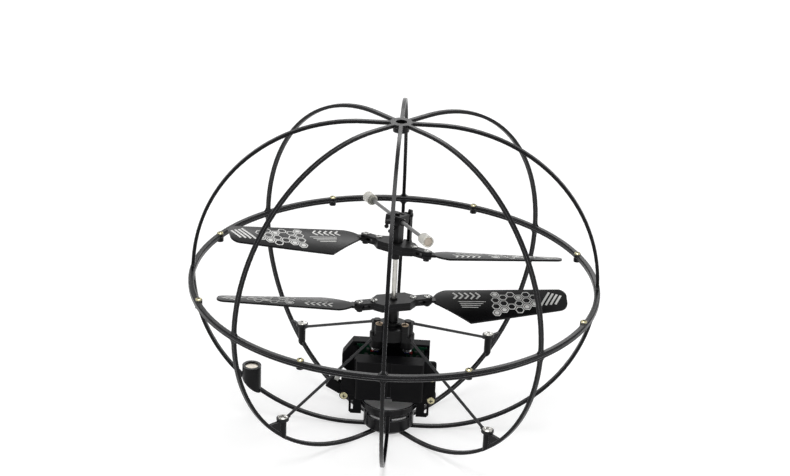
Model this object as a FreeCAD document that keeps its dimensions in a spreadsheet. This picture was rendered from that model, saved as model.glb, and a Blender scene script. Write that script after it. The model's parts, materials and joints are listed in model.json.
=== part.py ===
import FreeCAD, Part
import math
import os
import re

import Sketcher
from FreeCAD import Placement, Rotation, Vector

# Remote control helicopter with two rotors on one axis, hung inside a round cage of eight ribs.
# Millimetres, +Z up, -Y to the front. The origin is at the middle of the flat foot under the cage.

SIZES = {
    # Cage: two moulded halves that meet at a rim.
    "rim_radius": 87.4, "rim_width": 2.5, "rim_height": 1.3, "rim_bevel": 0.45,
    "pole_offset": 15.15, "rib_width": 1.6, "rib_depth": 1.5, "flare_radius": 1.6,
    "pole_radius": 4.75, "pole_bore": 2.35, "pole_collar_wall": 1.1, "pole_collar_drop": 2.6,
    "lug_inset": 0.6, "lug_radius": 1.55, "lug_rise": 1.5, "lug_drop": 2.1,
    # Screws: one cross-head pattern in three sizes.
    "rim_screw_radius": 0.8, "rim_screw_length": 2.9, "rim_head_radius": 1.4, "pan_head_radius": 1.65,
    "pan_head_height": 0.9,
    "washer_head_radius": 2.15, "hub_screw_radius": 0.7, "hub_head_radius": 1.5, "hub_head_height": 0.7,
    "cross_width": 0.42, "cross_span": 1.7, "cross_depth": 0.5,
    "screw_clearance": 0.06,
    # Posts on the lower ribs, which carry the struts.
    "post_inset": 26.2, "post_radius": 1.65, "post_rise": 7.9, "post_screw_length": 6.0,
    "web_thickness": 1.2, "web_reach": 7.8,
    "eyelet_radius": 2.7, "eyelet_thickness": 1.0, "strut_radius": 0.65,
    # Cup with a trimming weight on one lower rib.
    "cup_inset": 25.8, "cup_radius": 4.2, "cup_rise": 9.0, "cup_bore": 3.0, "cup_depth": 6.7,
    "slug_length": 6.0, "slug_clearance": 0.08,
    # Holder at the bottom pole with the ballast disc.
    "holder_radius": 11.2, "holder_height": 14.8, "holder_wall": 0.8, "holder_floor": 6.8,
    "lip_radius": 12.9, "lip_base": 10.6,
    "foot_radius": 8.0, "foot_bore": 5.0, "foot_recess": 3.0, "foot_rise": 2.6,
    "window_floor": 8.1, "window_top": 9.6, "window_width": 10.2,
    "stave_width": 2.0, "stave_proud": 0.5, "stave_base": 3.4,
    "ballast_clearance": 0.1, "ballast_height": 6.6, "reed_depth": 0.35, "flange_gap": 0.4,
    "flange_thickness": 0.9,
    # Gears of both shafts and their motors.
    "gear_module": 0.28, "gear_teeth": 40, "pinion_teeth": 8, "gear_width": 1.2, "pinion_width": 1.5,
    "gear_backlash": 0.10, "mesh_gap": 0.03, "gear_room": 0.3,
    "motor_radius": 2.5, "motor_length": 5.8, "motor_cap_length": 1.0, "motor_cap_inset": 0.25,
    "motor_boss_radius": 1.0, "motor_boss_height": 0.8, "motor_shaft_radius": 0.4,
    "motor_shaft_depth": 4.2, "sleeve_wall": 0.6, "sleeve_length": 5.2, "wire_radius": 0.35,
    "wire_drop": 4.0,
    # Gearbox that carries the shafts, the motors and the struts.
    "gearbox_base": 45.4, "gearbox_floor": 1.4, "gearbox_wall": 0.8, "chamber_height": 3.6,
    "gearbox_cap": 2.0, "cap_plate": 0.6, "chamber_clearance": 0.45, "gearbox_end_radius": 2.4,
    "ear_block_reach": 8.7, "ear_block_front": 6.4, "ear_block_back": 2.6, "ear_block_height": 2.4,
    "socket_radius": 1.25, "socket_reach": 1.8, "back_socket_x": 7.6, "back_socket_y": 1.6,
    "front_socket_x": 7.6, "front_socket_y": 4.6,
    "tower_x": 5.6, "tower_y": 4.7, "tower_radius": 1.9, "tower_height": 0.9,
    "peg_radius": 1.5, "peg_height": 0.9,
    # Shafts and bearings.
    "inner_shaft_radius": 1.05, "outer_shaft_radius": 1.6, "shaft_clearance": 0.06,
    "inner_bearing_radius": 2.3, "outer_bearing_radius": 2.9, "bearing_proud": 0.25,
    "bearing_rim": 0.5, "shaft_inset": 0.2, "tube_proud": 0.75, "mast_cover": 0.9,
    # Rotor hubs.
    "hub_half": 1.85, "prong_half": 1.6, "slot_half": 0.65, "hub_length": 9.4, "hub_flat": 6.2,
    "hub_width": 5.2, "arm_half_width": 2.2, "blade_pivot": 15.2, "slot_start": 10.8,
    "hub_screw_circle": 8.8, "boss_radius": 1.3, "boss_drop": 1.1, "collar_radius": 2.2,
    "lower_hub_height": 61.7, "upper_hub_height": 88.9, "collar_gap": 0.35,
    "lower_hub_turn": 17.5, "upper_hub_turn": -28.0,
    # Blades.
    "blade_length": 61.7, "upper_blade_length": 60.4, "blade_lead": 7.0, "blade_trail": 14.2,
    "blade_corner": 18.2, "blade_tip_trail": 5.8, "blade_thickness": 0.8, "blade_bend": 64.0,
    "blade_rise": 0.1, "blade_margin": 2.0, "blade_start": 3.0, "blade_neck": 2.4,
    "blade_shoulder": 8.5, "shoulder_radius": 9.0,
    "tip_front": 2.8, "tip_front_radius": 5.2, "tip_back": 3.4, "tip_back_radius": 4.4,
    "tip_low": 1.5, "tip_high": 1.2,
    "root_radius": 2.1, "root_half": 0.55, "root_length": 3.6, "blade_clearance": 0.06,
    "lower_pitch": 12.5, "upper_pitch": 8.5, "blade_twist": 9.0,
    "lower_swing_right": -10.9, "lower_swing_left": -17.2,
    "upper_swing_right": 46.0, "upper_swing_left": 48.0,
    # Head of the inner shaft: feathering hub, flybar and push link.
    "rest_tilt": -9.0, "flybar_rise": 12.9, "mast_half": 2.0, "mast_rise": 2.8,
    "mast_shoulder": 1.3, "mast_tip_radius": 1.1, "stem_radius": 1.9, "stem_length": 3.25,
    "knob_reach": 5.9, "knob_drop": 3.7, "knob_radius": 0.8, "rock_gap": 0.6, "side_gap": 0.3,
    "pin_clearance": 0.05, "open_eye_clearance": 0.2,
    "pivot_pin_radius": 0.6, "pivot_reach": 5.4, "flybar_pin_reach": 3.7,
    "ring_wall": 1.3, "ring_half_height": 1.9, "link_arm": 8.4, "stub_arm": 8.6, "stub_ball_radius": 0.95,
    "arm_half": 0.8, "link_pin_radius": 0.6, "link_pin_proud": 0.4, "link_eye_radius": 1.5,
    "link_thickness": 1.4, "link_width": 1.9, "link_horn": 2.0, "link_side_gap": 0.15,
    "flybar_turn": -35.7, "flybar_radius": 0.75, "flybar_reach": 29.0, "flybar_socket_radius": 1.5,
    "flybar_socket_length": 3.4, "flybar_rod_start": 3.9, "weight_radius": 2.4, "weight_length": 4.6,
    "weight_collar_radius": 1.7, "weight_collar_length": 1.4,
    # Body: battery box in front, frame, circuit board and rear cover.
    "body_base": 19.2, "frame_front": 5.8, "frame_back": 6.6, "frame_half_width": 15.9,
    "frame_wall": 1.1, "frame_height": 15.8, "tray_thickness": 1.2,
    "box_half_width": 14.8, "box_depth": 6.2, "box_height": 18.6, "box_wall": 0.9,
    "box_groove_width": 1.6, "box_groove_depth": 0.45, "box_notch_height": 1.6, "box_corner": 1.3,
    "battery_gap": 0.25,
    "ear_thickness": 1.2, "right_ear_reach": 20.3, "right_ear_top": 36.4, "ear_foot": 17.6,
    "left_ear_reach": 21.4, "left_ear_top": 27.0, "ear_corner": 1.4, "ear_boss_radius": 2.1,
    "ear_screw_inset": 1.7, "upper_screw_height": 28.7, "ear_screw_length": 5.0, "boss_length": 3.9,
    "pylon_half_width": 6.5, "pylon_front": 3.2, "pylon_thickness": 1.4, "pylon_flange": 2.6,
    "bracket_reach": 17.8, "bracket_base": 7.9, "bracket_thickness": 1.1, "bracket_border": 1.0,
    "bracket_slit_width": 0.9, "bracket_slit_height": 5.0, "bracket_inner": 10.4, "bracket_gap": 0.1,
    "board_thickness": 1.0, "board_half_width": 15.6, "board_top": 37.0, "chip_unit": 1.0,
    "chip_height": 0.9, "board_rim": 1.2,
    "rear_depth": 5.0, "rear_top": 38.1, "rear_left": 17.4, "rear_right": 16.8, "rear_wall": 0.9,
    "shoulder_reach": 22.0, "shoulder_top": 31.5, "shoulder_low": 25.0, "shoulder_foot": 21.5,
    "switch_length": 7.0, "switch_depth": 4.0, "switch_height": 4.5, "switch_tilt": 30.0,
    "switch_x": 24.2, "switch_z": 20.4, "slider_length": 1.8, "slider_width": 1.5,
    "slider_proud": 2.0, "slider_travel": 1.8, "slider_gap": 0.1,
}

RIBS = 8
STAVES = 6
REEDS = 60
STEP = 360 / RIBS

# Lengths that follow from the sizes.
ARC = "(rim_radius - pole_offset)"
CAGE_MIDDLE = f"({ARC} + rib_depth / 2)"
GEAR_SHAFT_DISTANCE = "(gear_module * (gear_teeth + pinion_teeth) / 2 + mesh_gap)"
CHAMBER_BASE = "(gearbox_base + gearbox_floor)"
CHAMBER_TOP = f"({CHAMBER_BASE} + chamber_height)"
GEARBOX_TOP = f"({CHAMBER_TOP} + gearbox_cap)"
INNER_GEAR_BASE = f"({CHAMBER_BASE} + chamber_clearance)"
OUTER_GEAR_BASE = f"({CHAMBER_TOP} - chamber_clearance - gear_width)"
OUTER_BORE = "(inner_shaft_radius + shaft_clearance)"
FLYBAR = "(upper_hub_height + flybar_rise)"
FLANGE_BASE = "(holder_floor + ballast_height)"
TUBE_TOP = "(lower_hub_height + hub_half + tube_proud)"
SHAFT_BOTTOM = "(gearbox_base + shaft_inset)"


def rib_level(radius):
    """Height of a lower rib's centreline at a distance from the axis."""
    return f"({CAGE_MIDDLE} - sqrt({ARC} ^ 2 - ({radius} - pole_offset) ^ 2))"


POST_CIRCLE = "(rim_radius - post_inset)"
POST_TOP = f"({rib_level(POST_CIRCLE)} + post_rise)"
HEAD_BASE = f"({POST_TOP} + eyelet_thickness)"
CUP_CIRCLE = "(rim_radius - cup_inset)"
CUP_TOP = f"({rib_level(CUP_CIRCLE)} + cup_rise)"
CUP_FLOOR = f"({CUP_TOP} - cup_depth)"


class Model:
    """A FreeCAD document whose objects take their sizes from one sheet."""

    PLANES = {"XY": Rotation(), "XZ": Rotation(Vector(1, 0, 0), 90), "YZ": Rotation(Vector(1, 1, 1), 120)}

    def __init__(self, name, sizes):
        self.document = FreeCAD.newDocument(name)
        self.sheet = self.document.addObject("Spreadsheet::Sheet", "Sizes")
        self.words = re.compile(r"\b(%s)\b" % "|".join(sizes))
        for row, (alias, value) in enumerate(sizes.items(), start=1):
            self.sheet.set(f"A{row}", alias)
            self.sheet.set(f"B{row}", str(value))
            self.sheet.setAlias(f"B{row}", alias)
        self.document.recompute()
        self.parts = []

    def formula(self, text):
        """A formula with each size written as a cell of the sheet."""
        return self.words.sub(r"Sizes.\1", str(text))

    def value(self, text):
        """What a formula comes to."""
        return float(self.sheet.evalExpression(self.formula(text)))

    def vector(self, x, y, z):
        """A vector from three formulas."""
        return Vector(self.value(x), self.value(y), self.value(z))

    def add(self, kind, name, **bound):
        """Add an object with some properties bound to formulas."""
        item = self.document.addObject(kind, name)
        for key, text in bound.items():
            item.setExpression(key, self.formula(text))
        return item

    def place(self, item, x="0", y="0", z="0", turn=Rotation()):
        """Turn an object, then bind its place."""
        item.Placement = Placement(Vector(), turn)
        for axis, text in zip("xyz", (x, y, z)):
            item.setExpression(f"Placement.Base.{axis}", self.formula(text))
        return item

    def cylinder(self, name, radius, height, x="0", y="0", z="0", turn=Rotation()):
        return self.place(self.add("Part::Cylinder", name, Radius=radius, Height=height), x, y, z, turn)

    def sphere(self, name, radius, x="0", y="0", z="0"):
        return self.place(self.add("Part::Sphere", name, Radius=radius), x, y, z)

    def block(self, name, x, y, z):
        """A box between pairs of formulas on each axis."""
        item = self.add("Part::Box", name, Length=f"{x[1]} - ({x[0]})", Width=f"{y[1]} - ({y[0]})",
                        Height=f"{z[1]} - ({z[0]})")
        return self.place(item, x[0], y[0], z[0])

    def fuse(self, name, *items):
        item = self.document.addObject("Part::MultiFuse", name)
        item.Shapes = list(items)
        item.Refine = True
        return item

    def cut(self, name, base, *tools):
        item = self.document.addObject("Part::Cut", name)
        item.Base = base
        item.Tool = tools[0] if len(tools) == 1 else self.group(name + "_tools", *tools)
        item.Refine = True
        return item

    def common(self, name, base, tool):
        item = self.document.addObject("Part::Common", name)
        item.Base, item.Tool = base, tool
        return item

    def group(self, name, *items):
        item = self.document.addObject("Part::Compound", name)
        item.Links = list(items)
        return item

    def copy(self, name, source, place):
        """A linked copy of an object at another place."""
        item = self.document.addObject("App::Link", name)
        item.LinkedObject = source
        item.LinkTransform = True
        item.LinkPlacement = place
        return item

    def ring(self, name, source, count, start=0.0):
        """Copies of an object round the vertical axis, each one separate."""
        places = [Placement(Vector(), Rotation(Vector(0, 0, 1), start + i * 360 / count))
                  for i in range(count)]
        return self.group(name, *[self.copy(f"{name}_{i}", source, p) for i, p in enumerate(places)])

    def trace(self, sketch, outline):
        """Draw a closed outline: (x, y) corners, with (radius, side) after a corner that starts an arc."""
        corners = [(self.value(c[0]), self.value(c[1])) for c in outline]
        for i, corner in enumerate(outline):
            start, end = Vector(*corners[i], 0), Vector(*corners[(i + 1) % len(outline)], 0)
            sketch.addGeometry(self.edge(start, end, corner[2:]))
        for i, corner in enumerate(outline):
            before = (i - 1) % len(outline)
            first, last = self.ends(outline[i]), self.ends(outline[before])
            sketch.addConstraint(Sketcher.Constraint("Coincident", before, last[1], i, first[0]))
            for kind, text, number in (("DistanceX", corner[0], corners[i][0]),
                                       ("DistanceY", corner[1], corners[i][1])):
                index = sketch.addConstraint(Sketcher.Constraint(kind, -1, 1, i, first[0], number))
                sketch.setExpression(f"Constraints[{index}]", self.formula(text))
            if len(corner) > 2:
                index = sketch.addConstraint(Sketcher.Constraint("Radius", i, self.value(corner[2])))
                sketch.setExpression(f"Constraints[{index}]", self.formula(corner[2]))

    @staticmethod
    def ends(corner):
        """Which ends of the edge that starts at a corner come first and last."""
        return (2, 1) if len(corner) > 2 and corner[3] == "right" else (1, 2)

    def edge(self, start, end, arc):
        """A line, or an arc whose centre lies to the left or right of the way from start to end."""
        if not arc:
            return Part.LineSegment(start, end)
        radius, side = self.value(arc[0]), arc[1]
        way = end - start
        normal = Vector(-way.y, way.x, 0).normalize() * (1 if side == "left" else -1)
        rise = math.sqrt(max(radius ** 2 - way.Length ** 2 / 4, 0))
        centre = (start + end) / 2 + normal * rise
        first, last = (start, end) if side == "left" else (end, start)
        angles = [math.atan2(p.y - centre.y, p.x - centre.x) for p in (first, last)]
        angles[1] += 2 * math.pi if angles[1] <= angles[0] else 0
        return Part.ArcOfCircle(Part.Circle(centre, Vector(0, 0, 1), radius), *angles)

    def sketch(self, name, outline, plane="XY"):
        """A free sketch on one of the main planes."""
        item = self.document.addObject("Sketcher::SketchObject", name)
        item.Placement = Placement(Vector(), self.PLANES[plane])
        self.trace(item, outline)
        return item

    def extrude(self, name, outline, length, plane="XY", x="0", y="0", z="0", turn=Rotation(), middle=False):
        """Pull an outline out along its plane's normal."""
        item = self.document.addObject("Part::Extrusion", name)
        item.Base = self.sketch(name + "_outline", outline, plane)
        item.DirMode, item.Solid, item.Symmetric = "Normal", True, middle
        item.setExpression("LengthFwd", self.formula(length))
        return self.place(item, x, y, z, turn)

    def loft(self, name, outline, near, far, twist):
        """Join an outline across X to a turned copy of it further along."""
        item = self.document.addObject("Part::Loft", name)
        upright = self.PLANES["YZ"]
        first = self.place(self.sketch(name + "_near", outline, "YZ"), near, turn=upright)
        last = self.place(self.sketch(name + "_far", outline, "YZ"), far, turn=around("x", twist) * upright)
        item.Sections, item.Solid, item.Ruled = [first, last], True, True
        return item

    def revolve(self, name, outline, x="0", y="0", z="0", turn=Rotation()):
        """Turn an outline of (radius, height) corners about the vertical axis."""
        item = self.document.addObject("Part::Revolution", name)
        item.Source = self.sketch(name + "_outline", outline, "XZ")
        item.Axis, item.Base, item.Angle, item.Solid = Vector(0, 0, 1), Vector(), 360, True
        return self.place(item, x, y, z, turn)

    def feature(self, name, shape):
        """An object that holds a shape made here."""
        item = self.document.addObject("Part::Feature", name)
        item.Shape = shape
        return item

    def part(self, node, item):
        """Name an object as a sub-part."""
        item.Label = node
        self.parts.append(item)
        return item


class Moulding:
    """A PartDesign body built from sketches on its own planes."""

    def __init__(self, model, name):
        self.model = model
        self.body = model.document.addObject("PartDesign::Body", name)

    def plane(self, role):
        return next(item for item in self.body.Origin.OriginFeatures if item.Role == role)

    def sketch(self, name, outline, role, offset):
        item = self.body.newObject("Sketcher::SketchObject", name)
        item.AttachmentSupport = [(self.plane(role), "")]
        item.MapMode = "FlatFace"
        item.setExpression("AttachmentOffset.Base.z", self.model.formula(offset))
        if outline[0] == "circle":
            self.circle(item, outline)
        else:
            self.model.trace(item, outline)
        return item

    def circle(self, item, outline):
        """Draw a circle at a bound centre."""
        x, y, radius = outline[1:]
        values = [self.model.value(text) for text in (x, y, radius)]
        item.addGeometry(Part.Circle(Vector(values[0], values[1], 0), Vector(0, 0, 1), values[2]))
        bounds = (("DistanceX", x, values[0]), ("DistanceY", y, values[1]))
        for kind, text, number in bounds:
            index = item.addConstraint(Sketcher.Constraint(kind, -1, 1, 0, 3, number))
            item.setExpression(f"Constraints[{index}]", self.model.formula(text))
        index = item.addConstraint(Sketcher.Constraint("Radius", 0, values[2]))
        item.setExpression(f"Constraints[{index}]", self.model.formula(radius))

    def revolve(self, name, outline):
        item = self.body.newObject("PartDesign::Revolution", name)
        item.Profile = self.sketch(name + "_outline", outline, "XZ_Plane", "0")
        item.ReferenceAxis = (item.Profile[0], ["V_Axis"])
        item.Angle = 360
        return item

    def pad(self, name, outline, length, role="XY_Plane", offset="0", middle=False):
        item = self.body.newObject("PartDesign::Pad", name)
        item.Profile = self.sketch(name + "_outline", outline, role, offset)
        item.setExpression("Length", self.model.formula(length))
        if middle:
            item.SideType = "Symmetric"
        return item

    def pattern(self, name, features, count):
        """Repeat features round the vertical axis."""
        item = self.body.newObject("PartDesign::PolarPattern", name)
        item.Originals = features
        item.Axis = (self.plane("Z_Axis"), [""])
        item.Angle, item.Occurrences = 360, count
        self.body.Tip = item
        return item


def around(axis, angle):
    """A turn about one of the main axes, in degrees."""
    return Rotation({"x": Vector(1, 0, 0), "y": Vector(0, 1, 0), "z": Vector(0, 0, 1)}[axis], angle)


def screw(model, name, shank, length, head, height, x="0", y="0", z="0", turn=Rotation()):
    """A screw with a domed head and a cross recess, its head's underside at the given point."""
    dome = f"({height} * 0.55)"
    crown = f"(({head}) ^ 2 + ({dome}) ^ 2) / (2 * {dome})"
    flank = f"({height} - {dome})"
    outline = [("0", f"-({length})"), (shank, f"-({length}) + {shank} * 0.4"), (shank, "0"), (head, "0"),
               (head, flank, crown, "left"), ("0", height)]
    body = model.revolve(name + "_turned", outline)
    span, width = "cross_span / 2", "cross_width / 2"
    slots = [model.block(f"{name}_slot_{i}", (f"-{a}", a), (f"-{b}", b), (f"{height} - cross_depth", height))
             for i, (a, b) in enumerate(((span, width), (width, span)))]
    return model.place(model.cut(name, body, *slots), x, y, z, turn)


def tube(model, name, outer, inner, low, high):
    """A plain tube round the vertical axis between two heights."""
    outline = [(inner, low), (outer, low), (outer, high), (inner, high)]
    return model.revolve(name, outline)


def involute_gear(model, name, teeth, width, bore):
    """A spur gear that stands on the XY plane, with a tooth centred on the X axis."""
    module, count = model.value("gear_module"), int(round(model.value(teeth)))
    pitch = module * count / 2
    base_circle = pitch * math.cos(math.radians(20))
    tip, root = pitch + module, pitch - 1.25 * module
    involute = math.tan(math.radians(20)) - math.radians(20)
    half = (math.pi * module / 2 - model.value("gear_backlash")) / (2 * pitch)

    def flank(radius):
        """Half the angle that the tooth takes up at a radius."""
        if radius <= base_circle:
            return half + involute
        pressure = math.acos(base_circle / radius)
        return half + involute - (math.tan(pressure) - pressure)

    def point(radius, angle):
        return Vector(radius * math.cos(angle), radius * math.sin(angle), 0)

    radii = [root, max(root, base_circle), (max(root, base_circle) + tip) / 2, tip]
    edges = []
    for tooth in range(count):
        middle = 2 * math.pi * tooth / count
        rise = [point(r, middle - flank(r)) for r in radii]
        fall = [point(r, middle + flank(r)) for r in reversed(radii)]
        after = point(root, middle + 2 * math.pi / count - flank(root))
        path = rise + fall + [after]
        edges += [Part.LineSegment(a, b).toShape() for a, b in zip(path, path[1:]) if (a - b).Length > 1e-6]
    thick = model.value(width)
    shape = Part.Face(Part.Wire(edges)).extrude(Vector(0, 0, thick))
    return model.feature(name,
                         shape.cut(Part.makeCylinder(model.value(bore), 3 * thick, Vector(0, 0, -thick))))


def cage_half(model, name, lug_height, spoke_end):
    """Rim, ribs and screw lugs of one half, with the parting plane at zero and the pole above it."""
    moulding = Moulding(model, name)
    low, high = "rim_radius - rim_width / 2", "rim_radius + rim_width / 2"
    moulding.revolve("Rim", [(low, "0"), (high, "0"), (high, "rim_height - rim_bevel"),
                             (f"{high} - rim_bevel", "rim_height"), (f"{low} + rim_bevel", "rim_height"),
                             (low, "rim_height - rim_bevel")])
    outer, inner = f"{ARC} + rib_depth / 2", f"{ARC} - rib_depth / 2"
    rib = moulding.pad("Rib", [(f"pole_offset + {outer}", "0", outer, "left"), ("pole_offset", outer),
                               (spoke_end, outer), (spoke_end, inner),
                               ("pole_offset", inner, inner, "right"),
                               (f"pole_offset + {inner}", "0")], "rib_width", "XZ_Plane", middle=True)
    side, sunk = "rib_width / 2", "rim_height / 2"
    flare = moulding.pad("Flare", [(f"-{side} - flare_radius", sunk), (f"{side} + flare_radius", sunk),
                                   (f"{side} + flare_radius", "rim_height", "flare_radius", "right"),
                                   (side, "rim_height + flare_radius"),
                                   (f"-{side}", "rim_height + flare_radius", "flare_radius", "right"),
                                   (f"-{side} - flare_radius", "rim_height")],
                         "rib_depth", "YZ_Plane", f"pole_offset + {inner}")
    moulding.pattern("Ribs", [rib, flare], RIBS)
    circle = "(rim_radius - lug_inset)"
    lug = moulding.pad("Lug", ("circle", f"{circle} * cos({STEP / 2})", f"{circle} * sin({STEP / 2})",
                               "lug_radius"),
                       lug_height)
    moulding.pattern("Lugs", [lug], RIBS)
    return moulding.body


def rim_holes(model, name, low, high):
    """Holes for the rim screws."""
    hole = model.cylinder(name + "_hole", "rim_screw_radius + screw_clearance", f"{high} - ({low})",
                          "(rim_radius - lug_inset)", "0", low)
    return model.ring(name, hole, RIBS, STEP / 2)


def make_cage_upper(model):
    shell = cage_half(model, "upper_shell", "lug_rise", "pole_bore + 1")
    model.place(shell, z=CAGE_MIDDLE)
    outer, inner = f"{CAGE_MIDDLE} + {ARC} + rib_depth / 2", f"{CAGE_MIDDLE} + {ARC} - rib_depth / 2"
    collar = "pole_bore + pole_collar_wall"
    pole = model.revolve("upper_pole", [("pole_bore", f"{inner} - pole_collar_drop"),
                                        (collar, f"{inner} - pole_collar_drop"), (collar, inner),
                                        ("pole_radius", inner), ("pole_radius", outer),
                                        ("pole_bore", outer)])
    bore = model.cylinder("pole_hole", "pole_bore", "20", z=f"{outer} - 10")
    holes = rim_holes(model, "upper_holes", CAGE_MIDDLE, f"{CAGE_MIDDLE} + lug_rise")
    model.part("cage_upper", model.cut("cage_upper", model.fuse("upper_whole", shell, pole), bore, holes))


def make_cage_lower(model):
    shell = cage_half(model, "lower_shell", "lug_drop", "foot_radius - 1")
    model.place(shell, z=CAGE_MIDDLE, turn=around("x", 180))
    under = model.cylinder("rib_limit", f"{ARC} + rib_depth / 2", "20", "pole_offset", "10", CAGE_MIDDLE,
                           around("x", 90))
    # Posts stand on the diagonal ribs, each with a web that runs out to the rib.
    post = model.common("post", model.cylinder("post_column", "post_radius", POST_TOP, POST_CIRCLE), under)
    reach = f"({POST_CIRCLE} + web_reach)"
    web = model.extrude("post_web", [(POST_CIRCLE, rib_level(POST_CIRCLE)), (reach, rib_level(reach)),
                                     (f"{reach} - web_thickness * 0.7", POST_TOP), (POST_CIRCLE, POST_TOP)],
                        "web_thickness", "XZ", y="0", middle=True)
    drill = model.cylinder("post_drill", "rim_screw_radius", "post_screw_length * 1.1", POST_CIRCLE, "0",
                           f"{POST_TOP} - post_screw_length")
    bracket = model.cut("post_bracket", model.fuse("post_solid", post, web), drill)
    posts = model.ring("posts", bracket, 4, STEP)
    # The cup's underside follows the rib.
    cup_solid = model.common("cup_solid", model.cylinder("cup_column", "cup_radius", CUP_TOP, CUP_CIRCLE),
                             under)
    cup = model.ring("cup", cup_solid, 1, 180)
    cavity = model.cylinder("cup_cavity", "cup_bore", "cup_depth * 2", f"-{CUP_CIRCLE}", "0", CUP_FLOOR)
    # Holder for the ballast disc, with windows between its staves.
    wall, lip = "holder_radius - holder_wall", "lip_radius - holder_wall"
    outline = [("foot_bore", "0"), ("foot_radius", "0"), ("holder_radius", "foot_rise"),
               ("holder_radius", "lip_base"), ("lip_radius", "lip_base + lip_radius - holder_radius"),
               ("lip_radius", "holder_height"), (lip, "holder_height"), (lip, FLANGE_BASE),
               (wall, FLANGE_BASE), (wall, "holder_floor"), ("0", "holder_floor"), ("0", "foot_recess"),
               ("foot_bore", "foot_recess")]
    holder = model.revolve("holder", outline)
    window = model.block("window", ("holder_radius - holder_wall - 0.6", "holder_radius + 1"),
                         ("-window_width / 2", "window_width / 2"), ("window_floor", "window_top"))
    windows = model.ring("windows", window, STAVES, -60)
    stave = model.block("stave", ("holder_radius - holder_wall", "holder_radius + stave_proud"),
                        ("-stave_width / 2", "stave_width / 2"), ("stave_base", "lip_base + stave_proud"))
    staves = model.ring("staves", stave, STAVES, -90)
    glazed = model.fuse("holder_staved", model.cut("holder_open", holder, windows), staves)
    bottom = f"{CAGE_MIDDLE} - lug_drop"
    holes = rim_holes(model, "lower_holes", f"{bottom} + lug_drop * 0.25", CAGE_MIDDLE)
    whole = model.fuse("lower_whole", shell, posts, cup, glazed)
    model.part("cage_lower", model.cut("cage_lower", whole, holes, cavity))


def make_cage_fittings(model):
    seat = f"{CAGE_MIDDLE} + lug_rise"
    rim_screw = screw(model, "rim_screw", "rim_screw_radius", "rim_screw_length", "rim_head_radius",
                      "pan_head_height", "rim_radius - lug_inset", "0", seat)
    model.part("cage_screws", model.ring("cage_screws", rim_screw, RIBS, STEP / 2))
    slug = model.cylinder("trim_slug", "cup_bore - slug_clearance", "slug_length", f"-{CUP_CIRCLE}", "0",
                          CUP_FLOOR)
    model.part("trim_weight", slug)
    points = []
    outer, depth = model.value("holder_radius - holder_wall - ballast_clearance"), model.value("reed_depth")
    for i in range(REEDS):
        for turn, size in ((0, outer), (0.3, outer), (0.5, outer - depth), (0.8, outer - depth)):
            angle = 2 * math.pi * (i + turn) / REEDS
            points.append(Vector(size * math.cos(angle), size * math.sin(angle), 0))
    face = Part.Face(Part.makePolygon(points + points[:1]))
    disc = face.extrude(Vector(0, 0, model.value("ballast_height")))
    flange = Part.makeCylinder(model.value("lip_radius - holder_wall - flange_gap"),
                               model.value("flange_thickness"), model.vector("0", "0", "ballast_height"))
    disc = disc.fuse(flange)
    disc.translate(model.vector("0", "0", "holder_floor"))
    model.part("ballast_disc", model.feature("ballast_disc", disc))


def rod(model, name, radius, azimuth, socket):
    """A rod from beside a post's screw to a point on the gearbox."""
    post = (f"{POST_CIRCLE} * cos({azimuth})", f"{POST_CIRCLE} * sin({azimuth})")
    away = model.vector(*socket) - model.vector(*post, "0")
    bearing = math.degrees(math.atan2(away.y, away.x))
    offset = "(washer_head_radius + strut_radius)"
    foot = (f"({post[0]} + {offset} * cos({bearing}))", f"({post[1]} + {offset} * sin({bearing}))",
            f"({POST_TOP} + eyelet_thickness / 2)")
    length = "sqrt(" + " + ".join(f"({a} - {b}) ^ 2" for a, b in zip(socket, foot)) + ")"
    turn = Rotation(Vector(0, 0, 1), model.vector(*socket) - model.vector(*foot))
    return model.cylinder(name, radius, length, *foot, turn), bearing, turn


def strut(model, node, azimuth, socket):
    """A rod from a post's head to a socket on the gearbox, with an eyelet at the post."""
    bar, bearing, _ = rod(model, node + "_rod", "strut_radius", azimuth, socket)
    place = (f"{POST_CIRCLE} * cos({azimuth})", f"{POST_CIRCLE} * sin({azimuth})", POST_TOP)
    eye = model.cylinder(node + "_eye", "eyelet_radius", "eyelet_thickness", *place)
    tab = model.extrude(node + "_tab", [("0", "-strut_radius"), ("eyelet_radius * 1.4", "-strut_radius"),
                                        ("eyelet_radius * 1.4", "strut_radius"), ("0", "strut_radius")],
                        "eyelet_thickness", "XY", *place, turn=around("z", bearing))
    hole = model.cylinder(node + "_hole", "rim_screw_radius + screw_clearance", "eyelet_thickness", *place)
    model.part(node, model.cut(node, model.fuse(node + "_whole", bar, eye, tab), hole))


BACK_SOCKET = ("back_socket_x", "back_socket_y", f"({CHAMBER_TOP} + gearbox_cap / 2)")
FRONT_SOCKET = ("front_socket_x", "(-front_socket_y)", "(gearbox_base + ear_block_height / 2)")
SOCKETS = {"strut_right_back": (45, BACK_SOCKET),
           "strut_left_back": (135, ("(-back_socket_x)",) + BACK_SOCKET[1:]),
           "strut_left_front": (225, ("(-front_socket_x)",) + FRONT_SOCKET[1:]),
           "strut_right_front": (315, FRONT_SOCKET)}


def make_struts(model):
    for node, (azimuth, socket) in SOCKETS.items():
        strut(model, node, azimuth, socket)
    washer_screw = screw(model, "strut_screw", "rim_screw_radius", "post_screw_length * 0.9",
                         "washer_head_radius",
                         "pan_head_height", POST_CIRCLE, "0", HEAD_BASE)
    model.part("strut_screws", model.ring("strut_screws", washer_screw, 4, STEP))


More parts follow.
